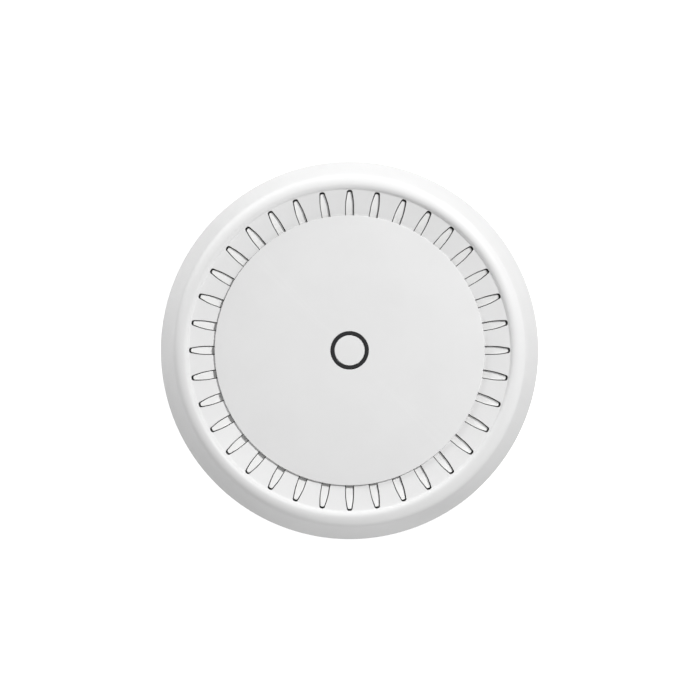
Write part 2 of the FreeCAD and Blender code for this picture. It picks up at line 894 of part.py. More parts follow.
def shield_lid(name):
    """A pressed steel lid over one part of the board."""
    x, y, width, depth = shields[name]
    outer = standing_block(x, y, board_top, (width, depth, shield_height))
    inner_size = (width - 2 * shield_thickness, depth - 2 * shield_thickness, shield_height)
    inner = standing_block(x, y, board_top - shield_thickness, inner_size)
    return upright_rounded(outer, shield_height, shield_corner).cut(inner)


def processor():
    return standing_block(-6.0, 33.0, board_top, (14.0, 14.0, 1.3))


def memory_chips():
    return Part.makeCompound(
        [
            standing_block(9.5, 37.0, board_top, (8.0, 11.0, 1.0)),
            standing_block(8.5, 26.5, board_top, (6.0, 5.0, 0.9)),
        ]
    )


def radio_chips():
    return Part.makeCompound(
        [standing_block(x, 0.0, board_top, (9.0, 9.0, 0.9)) for x in (-35.0, 35.0)]
    )


def thermal_pads():
    return Part.makeCompound(
        [
            standing_block(x, y, shield_top, (width * 0.7, depth * 0.7, pad_thickness))
            for x, y, width, depth in shields.values()
        ]
    )


def heat_spreader():
    """An aluminium plate with a field of fins on each side of the light guide."""
    width, depth, cut = spreader_half_width, spreader_half_depth, spreader_chamfer
    quarter = [(width, depth - cut), (width - cut, depth)]
    outline = quarter
    outline += [(-x, y) for x, y in reversed(quarter)]
    outline += [(-x, -y) for x, y in quarter]
    outline += [(x, -y) for x, y in reversed(quarter)]
    body = plate([(x, y, spreader_corner) for x, y in outline], spreader_bottom, spreader_top)
    first = -fin_pitch * (fin_count - 1) / 2
    fin_low = spreader_top - spreader_thickness / 2
    fin_size = (fin_length, fin_thickness, fin_top - fin_low)
    fins = [
        standing_block(side * fin_field_x, first + i * fin_pitch, fin_low, fin_size)
        for side in (-1, 1)
        for i in range(fin_count)
    ]
    neck_length, neck_width = spreader_neck
    ear = disc(spreader_ear_radius, spreader_bottom, spreader_top)
    neck = block((-neck_length, -neck_width / 2, spreader_bottom), (0, neck_width / 2, spreader_top))
    ears = ring_of(at(ear.fuse(neck), board_screw_circle), standoff_angles)
    hole = at(disc(board_screw_radius + snug_gap, 0, overall_height), board_screw_circle)
    cuts = [disc(spreader_bore, 0, overall_height), ring_of(hole, standoff_angles)]
    return body.fuse(fins + [ears]).cut(cuts).removeSplitter()


# ---- Ethernet jacks and reset -------------------------------------------------------------------
def jack_shield(x):
    thin = jack_shield_thickness
    half = jack_width / 2
    back = jack_face + jack_length
    outer = block((x - half, jack_face, jack_low), (x + half, back, board_bottom))
    inner = block(
        (x - half + thin, jack_face - 1, jack_low + thin),
        (x + half - thin, back - thin, board_bottom + 1),
    )
    return outer.cut(inner)


def jack_insert(x):
    """The moulding inside the shield, with the plug's opening and its latch's notch."""
    thin = jack_shield_thickness + pilot_gap
    half = jack_width / 2 - thin
    body = block(
        (x - half, jack_face + slide_gap, jack_low + thin),
        (x + half, jack_face + jack_length - thin, board_bottom),
    )
    width, depth, height = jack_bay
    low = jack_low + jack_shield_thickness + jack_bay_offset
    opening = block(
        (x - width / 2, jack_face, low), (x + width / 2, jack_face + depth, low + height)
    )
    width, depth, height = jack_latch
    notch = block((x - width / 2, jack_face, low - height), (x + width / 2, jack_face + depth, low))
    return body.cut([opening, notch]).removeSplitter()


def jack_contacts(x):
    """Eight spring wires that slant back from the opening's roof."""
    roof = jack_low + jack_shield_thickness + jack_bay_offset + jack_bay[2]
    side = [(2.2, 0.0), (2.9, 0.0), (11.2, -2.1), (11.0, -2.5)]
    wires = []
    for i in range(contact_count):
        left = x + (i - (contact_count - 1) / 2) * contact_pitch - contact_width / 2
        points = [Vector(left, jack_face + y, roof + z) for y, z in side]
        face = Part.Face(Part.makePolygon(points + points[:1]))
        wires.append(face.extrude(Vector(contact_width, 0, 0)))
    return Part.makeCompound(wires)


def reset_button():
    flange_y = bay_inner_y + slide_gap
    end = Vector(reset_x, flange_y + reset_flange_thickness, reset_z)
    pin = rod(reset_radius, Vector(reset_x, bay_high_y - reset_proud, reset_z), end)
    flange = rod(reset_flange_radius, Vector(reset_x, flange_y, reset_z), end)
    return pin.fuse(flange).removeSplitter()


def reset_switch_plunger():
    return rod(
        reset_plunger_radius,
        Vector(reset_x, reset_switch_y - reset_plunger_length, reset_z),
        Vector(reset_x, reset_switch_y + plunger_sunk, reset_z),
    )


def reset_switch_body():
    width, depth, height = reset_switch_size
    body = block(
        (reset_x - width / 2, reset_switch_y, board_bottom - height),
        (reset_x + width / 2, reset_switch_y + depth, board_bottom),
    )
    well = rod(
        reset_plunger_radius + snug_gap,
        Vector(reset_x, reset_switch_y - 1, reset_z),
        Vector(reset_x, reset_switch_y + plunger_sunk + reset_travel + snug_gap, reset_z),
    )
    return body.cut(well)


# ---- Power and line parts -----------------------------------------------------------------------
def hanging_block(x, y, size):
    """A box under the board, centred on x and y."""
    return standing_block(x, y, board_bottom - size[2], size)


def lan_transformers():
    size = (15.0, 7.6, 5.6)
    y = jack_face + jack_length + size[1] / 2 + 3.0
    return Part.makeCompound([hanging_block(x, y, size) for x in jack_centres])


def power_inductors():
    size, corner = (8.0, 8.0, 4.0), 1.6
    coils = [hanging_block(-40.0, y, size) for y in (10.0, 22.0)]
    return Part.makeCompound([upright_rounded(coil, size[2], corner) for coil in coils])


def bulk_capacitors():
    radius, height = 4.0, 8.2
    places = ((-40.0, -6.0), (-40.0, -17.0), (40.0, -6.0))
    return Part.makeCompound(
        [at(disc(radius, board_bottom - height, board_bottom), x, y) for x, y in places]
    )


def power_regulators():
    places = ((-50.0, 10.0), (-50.0, 22.0), (42.0, 8.0))
    return Part.makeCompound([hanging_block(x, y, (5.0, 6.0, 1.5)) for x, y in places])


def crystals():
    return Part.makeCompound(
        [standing_block(x, 18.0, board_top, (3.2, 2.5, 0.8)) for x in (-28.0, 28.0)]
    )


def chip_capacitors():
    """Small surface-mount parts in rows round the shields."""
    rows = [(-21.0 + 4.2 * i, y) for y in (-20.0, -24.0) for i in range(11)]
    rows += [(x, -12.0 + 4.0 * i) for x in (-17.5, 17.5) for i in range(7)]
    return Part.makeCompound([standing_block(x, y, board_top, (1.6, 0.8, 0.8)) for x, y in rows])


# ---- Antennas and their leads -------------------------------------------------------------------
def antenna(name):
    """A pressed foil: a foot on its bracket, and a curved, slit radiator that stands on its edge."""
    angle, span, height = antennas[name]
    inner = antenna_circle - antenna_foot_length
    half = antenna_foot_width / 2
    foot = block((inner, -half, antenna_foot_z), (antenna_circle, half, antenna_foot_z + antenna_foil))
    outer = antenna_circle + antenna_foil
    radiator = sector(
        antenna_circle, outer, antenna_foot_z, antenna_foot_z + height, -span / 2, span
    )
    slit = sector(
        antenna_circle - 1,
        outer + 1,
        antenna_foot_z + height * 0.45,
        antenna_foot_z + height * 0.6,
        -span / 2 - 1,
        span * 0.75,
    )
    return turned(foot.fuse(radiator.cut(slit)).removeSplitter(), angle)


def antenna_brackets():
    """Plastic frames that lift the antennas off the back shell."""
    outer = antenna_circle - bracket_edge_gap
    low, half, frame = back_gap + wall, bracket_width / 2, bracket_frame
    body = block((outer - bracket_length, -half, low), (outer, half, antenna_foot_z))
    window = block(
        (outer - bracket_length - 1, -half + frame, low + frame),
        (outer + 1, half - frame, antenna_foot_z - frame),
    )
    return ring_of(body.cut(window), antenna_angles)


def coax_sockets():
    size = (coax_socket_size, coax_socket_size, coax_socket_height)
    return ring_of(standing_block(*coax_place, board_top, size), antenna_angles)


def coax_plug():
    low = board_top + coax_socket_height
    return at(disc(coax_plug_radius, low, low + coax_plug_height), *coax_place)


def antenna_lead(name):
    radii = [0.0]
    for before, point, after in zip(lead_points, lead_points[1:], lead_points[2:]):
        run = min(point.distanceToPoint(before), point.distanceToPoint(after))
        turn = (point - before).getAngle(after - point)
        radii.append(0.45 * run / math.tan(turn / 2))
    path = rounded_path(lead_points, radii + [0.0], False)
    profile = Part.Wire(Part.makeCircle(lead_radius, lead_points[0], lead_points[1] - lead_points[0]))
    lead = path.makePipeShell([profile], True, True)
    excess = lead.Volume / (math.pi * lead_radius**2 * path.Length) - 1
    print(name, "lead: bend radii", [round(r, 1) for r in radii[1:]], "volume error", round(excess, 4))
    return turned(lead.cut(coax_plug()), antennas[name][0])


def rating_label():
    half_width, half_height = label_size[0] / 2, label_size[1] / 2
    corners = rounded_rectangle(
        (-half_width, label_y - half_height), (half_width, label_y + half_height), label_corner
    )
    return plate(corners, recess_z - label_thickness, recess_z)


# ---- Every piece, by name -----------------------------------------------------------------------
def pieces():
    made = {
        "mounting_ring": mounting_ring(),
        "base_shell": base_shell(),
        "front_cover": front_cover(),
        "vent_baffle": vent_baffle(),
        "face_disc": face_disc(),
        "light_ring": light_ring(),
        "light_guide": light_guide(),
        "mode_button": mode_button(),
        "mode_switch_plunger": mode_switch_plunger(),
        "mode_switch_body": mode_switch_body(),
        "reset_button": reset_button(),
        "reset_switch_plunger": reset_switch_plunger(),
        "reset_switch_body": reset_switch_body(),
        "case_screws": case_screws(),
        "board_screws": board_screws(),
        "spreader_standoffs": spreader_standoffs(),
        "spreader_screws": spreader_screws(),
        "main_board": main_board(),
        "status_leds": status_leds(),
        "processor": processor(),
        "memory_chips": memory_chips(),
        "radio_chips": radio_chips(),
        "thermal_pads": thermal_pads(),
        "heat_spreader": heat_spreader(),
        "lan_transformers": lan_transformers(),
        "power_inductors": power_inductors(),
        "bulk_capacitors": bulk_capacitors(),
        "power_regulators": power_regulators(),
        "crystals": crystals(),
        "chip_capacitors": chip_capacitors(),
        "antenna_brackets": antenna_brackets(),
        "coax_sockets": coax_sockets(),
        "coax_plugs": ring_of(coax_plug(), antenna_angles),
        "rating_label": rating_label(),
    }
    for name in shields:
        made[name] = shield_lid(name)
    for number, x in enumerate(jack_centres, 1):
        made[f"ethernet_jack_{number}_shield"] = jack_shield(x)
        made[f"ethernet_jack_{number}_insert"] = jack_insert(x)
        made[f"ethernet_jack_{number}_contacts"] = jack_contacts(x)
    for name in antennas:
        made[name] = antenna(name)
        made[f"{name}_lead"] = antenna_lead(name)
    return made


def main():
    os.makedirs("parts", exist_ok=True)
    for name, shape in pieces().items():
        shape.exportStep(f"parts/{name}.step")


main()
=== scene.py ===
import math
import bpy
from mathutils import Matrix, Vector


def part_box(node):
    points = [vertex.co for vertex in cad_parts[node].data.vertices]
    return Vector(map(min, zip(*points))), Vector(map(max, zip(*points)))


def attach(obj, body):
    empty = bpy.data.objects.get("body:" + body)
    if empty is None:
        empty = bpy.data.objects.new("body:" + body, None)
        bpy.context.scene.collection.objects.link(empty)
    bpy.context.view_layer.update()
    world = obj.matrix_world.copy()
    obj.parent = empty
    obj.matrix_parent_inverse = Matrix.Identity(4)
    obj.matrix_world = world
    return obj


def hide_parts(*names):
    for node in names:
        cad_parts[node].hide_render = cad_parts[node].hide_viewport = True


bl_info = {
    "name": "Ceiling Access Point",
    "version": (1, 0, 0),
    "blender": (4, 5, 0),
    "location": "3D View > Sidebar > Access Point",
    "description": "Models and finishes a ceiling access point on its CAD frame",
    "category": "Object",
}

import bmesh
import bpy
from bpy.props import FloatProperty, FloatVectorProperty, IntProperty, PointerProperty
from bpy.types import Operator, Panel, PropertyGroup
from mathutils import Matrix, Vector

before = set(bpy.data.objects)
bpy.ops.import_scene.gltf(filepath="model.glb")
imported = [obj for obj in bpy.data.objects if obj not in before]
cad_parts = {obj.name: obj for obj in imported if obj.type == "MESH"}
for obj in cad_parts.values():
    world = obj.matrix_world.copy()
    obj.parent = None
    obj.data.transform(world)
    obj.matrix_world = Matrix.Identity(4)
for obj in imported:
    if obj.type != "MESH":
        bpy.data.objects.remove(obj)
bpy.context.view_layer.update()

MM = 0.001
FULL_TURN = 2 * math.pi
DUST_COLOUR = (0.62, 0.60, 0.57, 1.0)

cover_low, cover_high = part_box("front_cover")
disc_low, disc_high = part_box("face_disc")
ring_low, ring_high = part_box("light_ring")
button_low, button_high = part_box("mode_button")
baffle_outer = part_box("vent_baffle")[1].x

# Places where the front pieces meet the parts behind them
baffle_inner = 66 * MM
baffle_thickness = 1.2 * MM
stake_circle, stake_radius, stake_count = 74.18 * MM, 1.1 * MM, 12
stake_head_radius, stake_head_height = 1.9 * MM, 0.8 * MM
stake_turn = math.radians(5)
boss_circle, boss_radius, boss_low, boss_high = 84.5 * MM, 3.8 * MM, 19.8 * MM, 39.2 * MM
pilot_radius, pilot_low, pilot_high = 1.52 * MM, 15 * MM, 28 * MM
boss_turn = math.radians(35)
snap_circle, snap_half_thickness, snap_half_width, snap_count = 48 * MM, 0.9 * MM, 4 * MM, 6


# ---- Sizes and colours that a user would change -------------------------------------------------
def length(name, default, description):
    return FloatProperty(
        name=name, description=description, default=default, min=0.0, unit="LENGTH", precision=5
    )


def angle(name, degrees, description):
    return FloatProperty(
        name=name, description=description, default=math.radians(degrees), subtype="ANGLE"
    )


def power(name, default, description):
    return FloatProperty(name=name, description=description, default=default, min=0.0, unit="POWER")


def colour(name, default, description):
    limits = {"size": 3, "min": 0.0, "max": 1.0, "subtype": "COLOR"}
    return FloatVectorProperty(name=name, description=description, default=default, **limits)


class CoverSizes(PropertyGroup):
    radius: length("Radius", cover_high.x, "Outer radius of the cover at the seam")
    top: length("Top", cover_high.z, "Height of the rim's crest above the ceiling")
    seam: length("Seam", cover_low.z, "Height of the cover's lower edge")
    wall: length("Wall", 2 * MM, "Wall thickness")
    lean: angle("Flank Lean", 13.6, "Lean of the flank from upright")
    outer_round: length("Outer Rounding", 5.2 * MM, "Rounding of the crest towards the flank")
    inner_round: length("Inner Rounding", 2.6 * MM, "Rounding of the crest towards the trough")
    crest_flat: length("Crest Flat", 0.2 * MM, "Width of the flat on the crest")
    rim_slope: angle("Rim Slope", 62.0, "Slope of the rim's wall down into the trough")
    rim_drop: length("Rim Drop", 2.2 * MM, "Drop from the crest to the foot of the rim")
    deck_drop: length("Deck Drop", 4.63 * MM, "Drop from the foot of the rim to the deck")
    deck_radius: length("Deck Radius", 63 * MM, "Radius of the flat deck under the disc")
    foot_round: length("Foot Rounding", 1.5 * MM, "Rounding at the foot of the rim")
    deck_round: length("Deck Rounding", 1.0 * MM, "Rounding at the edge of the deck")
    slots: IntProperty(name="Slots", description="Number of vent slots", default=36, min=4, max=60)
    slot_half: length("Slot Half Width", 2.25 * MM, "Half the width of a slot")
    slot_tip_half: length("Tip Half Width", 1.25 * MM, "Half the width of a slot at its tip")
    slot_taper: length("Taper Length", 6.2 * MM, "Length of the taper at the tip")
    slot_lip: length("Slot Lip", 0.15 * MM, "Rounding of a slot's upper edge")
    baffle_inner_gap: length("Inner Baffle Room", 1.6 * MM, "Air over the baffle's inner edge")
    baffle_outer_gap: length("Outer Baffle Room", 2.9 * MM, "Air over the baffle's outer edge")
    pad_gap: length("Pad Clearance", 0.4 * MM, "Air beside the baffle's pads in the slots")
    pad_tip_gap: length("Pad End Clearance", 1.0 * MM, "Air between a pad's end and its slot's tip")
    pad_drop: length("Pad Drop", 1.2 * MM, "Drop from the trough to the baffle's pads")


class FaceSizes(PropertyGroup):
    disc_radius: length("Disc Radius", disc_high.x, "Outer radius of the face disc")
    disc_top: length("Disc Top", disc_high.z, "Height of the face")
    disc_round: length("Disc Rounding", 0.3 * MM, "Rounding of the disc's edge")
    bore_radius: length("Bore Radius", 9.75 * MM, "Radius of the disc's bore")
    ring_inner: length("Ring Bore", 7.8 * MM, "Inner radius of the light ring")
    ring_outer: length("Ring Radius", ring_high.x, "Outer radius of the light ring")
    button_radius: length("Button Radius", 7.6 * MM, "Radius of the mode button's cap")
    button_round: length("Button Rounding", 0.25 * MM, "Rounding of the cap's edge")


class Colours(PropertyGroup):
    housing: colour("Housing", (0.80, 0.80, 0.80), "Moulded plastic of the shells and the face")
    # The baffle's colour is set lighter than the housing's as painted light, to brighten its pads
    # where they sit in the vent slots' shade.
    baffle: colour("Baffle", (0.89, 0.89, 0.885), "Lighter plastic of the baffle behind the vents")
    bracket: colour("Bracket", (0.74, 0.745, 0.74), "Moulded plastic of the mounting ring")
    smoke: colour("Smoked Ring", (0.022, 0.0225, 0.024), "Smoked plastic of the light ring")
    board: colour("Board", (0.012, 0.085, 0.045), "Solder mask of the circuit board")
    floor: colour("Floor", (0.62, 0.62, 0.62), "Plain floor")


class Lights(PropertyGroup):
    sky: FloatProperty(name="Sky", description="Strength of the even light", default=0.29, min=0.0)
    key: power("Key", 14.8, "Power of the key light")
    broad: power("Broad", 12.2, "Power of the broad light")
    fill: power("Fill", 6.0, "Power of the fill light")


def cover_sizes():
    return bpy.context.scene.access_point_cover


def face_sizes():
    return bpy.context.scene.access_point_face


def colours():
    return bpy.context.scene.access_point_colours


# ---- Modelling ----------------------------------------------------------------------------------
def outline(bm, corners, closed=True, level=None):
    """Joins corners (a, b, rounding) by edges and rounds them, upright in XZ or flat at a level."""
    flat = level is not None
    points = [Vector((a, b, level) if flat else (a, 0, b)) for a, b, _ in corners]
    verts = [bm.verts.new(point) for point in points]
    ends = zip(verts, verts[1:] + verts[:1] if closed else verts[1:])
    for pair in list(ends):
        bm.edges.new(pair)
    for i, corner in enumerate(corners):
        if not corner[2]:
            continue
        before, here, after = points[i - 1], points[i], points[(i + 1) % len(points)]
        turn = (here - before).angle(after - here)
        bmesh.ops.bevel(
            bm,
            geom=[verts[i]],
            offset=corner[2] * math.tan(turn / 2),
            offset_type="OFFSET",
            segments=max(3, round(math.degrees(turn) / 5)),
            profile=0.5,
            affect="VERTICES",
            clamp_overlap=False,
            material=-1,
        )


def tidied(bm):
    bmesh.ops.remove_doubles(bm, verts=bm.verts, dist=1e-7)
    bmesh.ops.recalc_face_normals(bm, faces=bm.faces)
    return bm


def turned(corners, steps=360, closed=True):
    """A section turned once round the Z axis."""
    bm = bmesh.new()
    outline(bm, corners, closed)
    bmesh.ops.spin(
        bm,
        geom=bm.verts[:] + bm.edges[:],
        cent=(0, 0, 0),
        axis=(0, 0, 1),
        dvec=(0, 0, 0),
        angle=FULL_TURN,
        steps=steps,
        use_merge=True,
        use_normal_flip=False,
        use_duplicate=False,
    )
    return tidied(bm)


def upright(corners, low, high):
    """A flat outline raised to a prism."""
    bm = bmesh.new()
    outline(bm, corners, level=low)
    bmesh.ops.contextual_create(bm, geom=bm.edges[:])
    raised = bmesh.ops.extrude_face_region(bm, geom=bm.faces[:])["geom"]
    top = [part for part in raised if isinstance(part, bmesh.types.BMVert)]
    bmesh.ops.translate(bm, verts=top, vec=(0, 0, high - low))
    return tidied(bm)


def rod(radius, low, high, at=0.0, segments=48, tip=None):
    bm = bmesh.new()
    bmesh.ops.create_cone(
        bm,
        cap_ends=True,
        segments=segments,
        radius1=radius,
        radius2=radius if tip is None else tip,
        depth=high - low,
        matrix=Matrix.Translation((at, 0, (low + high) / 2)),
    )
    return bm


def block(low, high):
    bm = bmesh.new()
    size = Vector(high) - Vector(low)
    middle = Matrix.Translation((Vector(high) + Vector(low)) / 2)
    bmesh.ops.create_cube(bm, size=1.0, matrix=middle @ Matrix.Diagonal(size.to_4d()))
    return bm


def repeated(bm, count, first=0.0):
    """The shape at even angles round the Z axis."""
    bmesh.ops.rotate(bm, verts=bm.verts, cent=(0, 0, 0), matrix=Matrix.Rotation(first, 3, "Z"))
    bmesh.ops.spin(
        bm,
        geom=bm.verts[:] + bm.edges[:] + bm.faces[:],
        cent=(0, 0, 0),
        axis=(0, 0, 1),
        dvec=(0, 0, 0),
        angle=FULL_TURN * (count - 1) / count,
        steps=count - 1,
        use_merge=False,
        use_normal_flip=False,
        use_duplicate=True,
    )
    return bm


def mirrored_pairs(bm, first):
    """The shape at an angle, and again past the X and Y axes."""
    bmesh.ops.rotate(bm, verts=bm.verts, cent=(0, 0, 0), matrix=Matrix.Rotation(first, 3, "Z"))
    for axis in ("X", "Y"):
        bmesh.ops.mirror(bm, geom=bm.verts[:] + bm.edges[:] + bm.faces[:], axis=axis, merge_dist=-1)
    bmesh.ops.recalc_face_normals(bm, faces=bm.faces)
    return bm


def as_object(bm, name):
    mesh = bpy.data.meshes.new(name)
    bm.to_mesh(mesh)
    bm.free()
    made = bpy.data.objects.new(name, mesh)
    bpy.context.scene.collection.objects.link(made)
    return made


def combined(bm, tools, operation):
    """Joins other shapes to a body, or cuts them out of it."""
    body = as_object(bm, "body")
    helpers = [as_object(tool, "tool") for tool in tools]
    for helper in helpers:
        step = body.modifiers.new("step", "BOOLEAN")
        step.operation, step.solver, step.object = operation, "EXACT", helper
    bpy.context.view_layer.update()
    evaluated = body.evaluated_get(bpy.context.evaluated_depsgraph_get())
    result = bmesh.new()
    result.from_mesh(evaluated.to_mesh())
    evaluated.to_mesh_clear()
    for helper in [body] + helpers:
        mesh = helper.data
        bpy.data.objects.remove(helper)
        bpy.data.meshes.remove(mesh)
    bmesh.ops.remove_doubles(result, verts=result.verts, dist=2e-6)
    return result


def added(bm, other):
    """Puts another shape's shells beside those of a mesh."""
    mesh = bpy.data.meshes.new("added")
    other.to_mesh(mesh)
    other.free()
    bm.from_mesh(mesh)
    bpy.data.meshes.remove(mesh)


def piece(bm, name, body, material, crease=20.0):
    """Finishes a mesh as a piece that stands for the CAD node of the same name."""
    made = as_object(bm, name + "_piece")
    made.data.shade_smooth()
    made.data.set_sharp_from_angle(angle=math.radians(crease))
    made.data.materials.append(material)
    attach(made, body)
    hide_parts(name)
    return made


# ---- Node groups that the finishes share --------------------------------------------------------
def new_group(name, inputs, outputs):
    """An empty shader group. Inputs are (name, kind, default) and outputs (name, kind)."""
    group = bpy.data.node_groups.new(name, "ShaderNodeTree")
    for label, kind, default in inputs:
        socket = group.interface.new_socket(label, in_out="INPUT", socket_type="NodeSocket" + kind)
        socket.default_value = default
    for label, kind in outputs:
        group.interface.new_socket(label, in_out="OUTPUT", socket_type="NodeSocket" + kind)
    return group, group.nodes.new("NodeGroupInput"), group.nodes.new("NodeGroupOutput")


def node(tree, kind, settings=None, values=None):
    """Adds a node, with its settings and the values or links of its sockets."""
    made = tree.nodes.new("ShaderNode" + kind)
    for key, value in (settings or {}).items():
        setattr(made, key, value)
    for key, value in (values or {}).items():
        if isinstance(value, bpy.types.NodeSocket):
            tree.links.new(value, made.inputs[key])
        else:
            made.inputs[key].default_value = value
    return made


def math_node(tree, operation, first, second=0.5, clamp=False):
    settings = {"operation": operation, "use_clamp": clamp}
    return node(tree, "Math", settings, {0: first, 1: second}).outputs[0]


def blended(tree, mask, first, second):
    """Goes from the first colour to the second as the mask rises."""
    mixed = node(tree, "Mix", {"data_type": "RGBA"}, {0: mask, 6: first, 7: second})
    return mixed.outputs[2]


def between(tree, value, low, high, start=0.3, end=0.7):
    """Goes from low to high as the value goes from start to end."""
    ends = {"From Min": start, "From Max": end, "To Min": low, "To Max": high}
    return node(tree, "MapRange", None, {"Value": value, **ends}).outputs[0]


def raised_by(tree, value, mask, amount):
    """Adds an amount to a value where the mask is on."""
    return math_node(tree, "ADD", value, math_node(tree, "MULTIPLY", mask, amount), clamp=True)


def object_noise(tree, scale, detail=2.0, roughness=0.5, stretch=None):
    place = node(tree, "TexCoord").outputs["Object"]
    if stretch:
        place = node(tree, "Mapping", None, {"Vector": place, "Scale": stretch}).outputs[0]
    values = {"Vector": place, "Scale": scale, "Detail": detail, "Roughness": roughness}
    return node(tree, "TexNoise", None, values).outputs[0]


def grain_group():
    """Fine grain of a moulded or cast surface, with a slow waviness under it."""
    group, given, out = new_group(
        "Moulded Grain",
        [
            ("Fine Scale", "Float", 2600.0),
            ("Slow Scale", "Float", 60.0),
            ("Slow Share", "Float", 0.3),
        ],
        [("Height", "Float"), ("Shade", "Float")],
    )
    fine = object_noise(group, given.outputs["Fine Scale"], 3.0, 0.6)
    slow = object_noise(group, given.outputs["Slow Scale"], 1.0, 0.4)
    shares = {0: given.outputs["Slow Share"], 2: fine, 3: slow}
    both = node(group, "Mix", {"data_type": "FLOAT"}, shares).outputs[0]
    group.links.new(both, out.inputs["Height"])
    group.links.new(slow, out.inputs["Shade"])
    return group


def drift_group():
    """Slight drift of a colour between two shades of it."""
    group, given, out = new_group(
        "Colour Drift",
        [
            ("Colour", "Color", (0.8, 0.8, 0.8, 1)),
            ("Second Colour", "Color", (0.78, 0.78, 0.77, 1)),
            ("Scale", "Float", 45.0),
        ],
        [("Colour", "Color")],
    )
    patches = object_noise(group, given.outputs["Scale"], 3.0, 0.55)
    share = between(group, patches, 0.0, 1.0, 0.35, 0.65)
    mixed = blended(group, share, given.outputs["Colour"], given.outputs["Second Colour"])
    group.links.new(mixed, out.inputs["Colour"])
    return group


def wear_group():
    """Mask of edges that hands and packing have rubbed, broken up by noise."""
    group, given, out = new_group(
        "Edge Wear", [("Amount", "Float", 0.3), ("Scale", "Float", 500.0)], [("Mask", "Float")]
    )
    edge = node(group, "NewGeometry").outputs["Pointiness"]
    sharp = between(group, edge, 0.0, 1.0, 0.53, 0.62)
    broken = object_noise(group, given.outputs["Scale"], 4.0, 0.6)
    rubbed = math_node(group, "MULTIPLY", sharp, broken)
    mask = math_node(group, "MULTIPLY", rubbed, given.outputs["Amount"], clamp=True)
    group.links.new(mask, out.inputs["Mask"])
    return group


def dust_group():
    """Mask of fine dust on surfaces that face up, in soft patches."""
    group, given, out = new_group(
        "Fine Dust", [("Amount", "Float", 0.1), ("Scale", "Float", 90.0)], [("Mask", "Float")]
    )
    normal = node(group, "NewGeometry").outputs["Normal"]
    height = node(group, "SeparateXYZ", None, {0: normal}).outputs["Z"]
    facing = between(group, height, 0.0, 1.0, 0.2, 1.0)
    patches = object_noise(group, given.outputs["Scale"], 5.0, 0.65)
    soft = between(group, patches, 0.0, 1.0, 0.4, 0.75)
    laid = math_node(group, "MULTIPLY", facing, soft)
    mask = math_node(group, "MULTIPLY", laid, given.outputs["Amount"], clamp=True)
    group.links.new(mask, out.inputs["Mask"])
    return group


def streak_group():
    """Fine streaks along X or Y, as rolling or drawing leaves on metal."""
    group, given, out = new_group(
        "Drawn Streaks",
        [("Scale", "Float", 900.0), ("Stretch", "Vector", (1.0, 0.06, 1.0))],
        [("Height", "Float")],
    )
    lines = object_noise(group, given.outputs["Scale"], 4.0, stretch=given.outputs["Stretch"])
    group.links.new(lines, out.inputs["Height"])
    return group


groups = {}


def shared(name):
    """Each group is built once, when a finish first asks for it."""
    makers = {
        "grain": grain_group,
        "drift": drift_group,
        "wear": wear_group,
        "dust": dust_group,
        "streaks": streak_group,
    }
    if name not in groups:
        groups[name] = makers[name]()
    return groups[name]


def placed(tree, name, values=None):
    return node(tree, "Group", {"node_tree": shared(name)}, values)


# ---- Finishes -----------------------------------------------------------------------------------
def shade(colour, factor):
    return tuple(min(1.0, channel * factor) for channel in colour[:3]) + (1.0,)


def finish(
    name,
    base,
    second,
    rough,
    fine=2600.0,
    slow=60.0,
    slow_share=0.3,
    depth=0.00002,
    drift=45.0,
    worn=None,
    wear=0.0,
    dust=0.0,
    streaks=None,
    pattern=None,
    constants=None,
):
    """A surface with grain, drift of colour, rubbed edges and dust, each at its own strength."""
    material = bpy.data.materials.new(name)
    material.use_nodes = True
    tree = material.node_tree
    shader = tree.nodes["Principled BSDF"]
    scales = {"Fine Scale": fine, "Slow Scale": slow, "Slow Share": slow_share}
    grain = placed(tree, "grain", scales)
    tints = {"Colour": base, "Second Colour": second, "Scale": drift}
    tint = placed(tree, "drift", tints).outputs[0]
    height = grain.outputs["Height"]
    if streaks:
        height = placed(tree, "streaks", {"Scale": streaks[0], "Stretch": streaks[1]}).outputs[0]
    roughness = between(tree, grain.outputs["Shade"], rough[0], rough[1])
    if pattern:
        tint, height = pattern(tree, tint, height)
    if wear:
        mask = placed(tree, "wear", {"Amount": wear}).outputs[0]
        tint = blended(tree, mask, tint, worn or shade(base, 1.15))
        roughness = raised_by(tree, roughness, mask, -0.1)
    if dust:
        mask = placed(tree, "dust", {"Amount": dust}).outputs[0]
        tint = blended(tree, mask, tint, DUST_COLOUR)
        roughness = raised_by(tree, roughness, mask, 0.3)
    bump = node(tree, "Bump", None, {"Height": height, "Distance": depth, "Strength": 1.0})
    tree.links.new(tint, shader.inputs["Base Color"])
    tree.links.new(roughness, shader.inputs["Roughness"])
    tree.links.new(bump.outputs[0], shader.inputs["Normal"])
    for key, value in (constants or {}).items():
        shader.inputs[key].default_value = value
    return material


def white_housing():
    base = shade(colours().housing, 1.0)
    return finish(
        "White Moulded Housing", base, shade(base, 0.985), (0.46, 0.54), fine=2400.0,
        depth=0.000012, wear=0.12, dust=0.02, constants={"IOR": 1.46},
    )


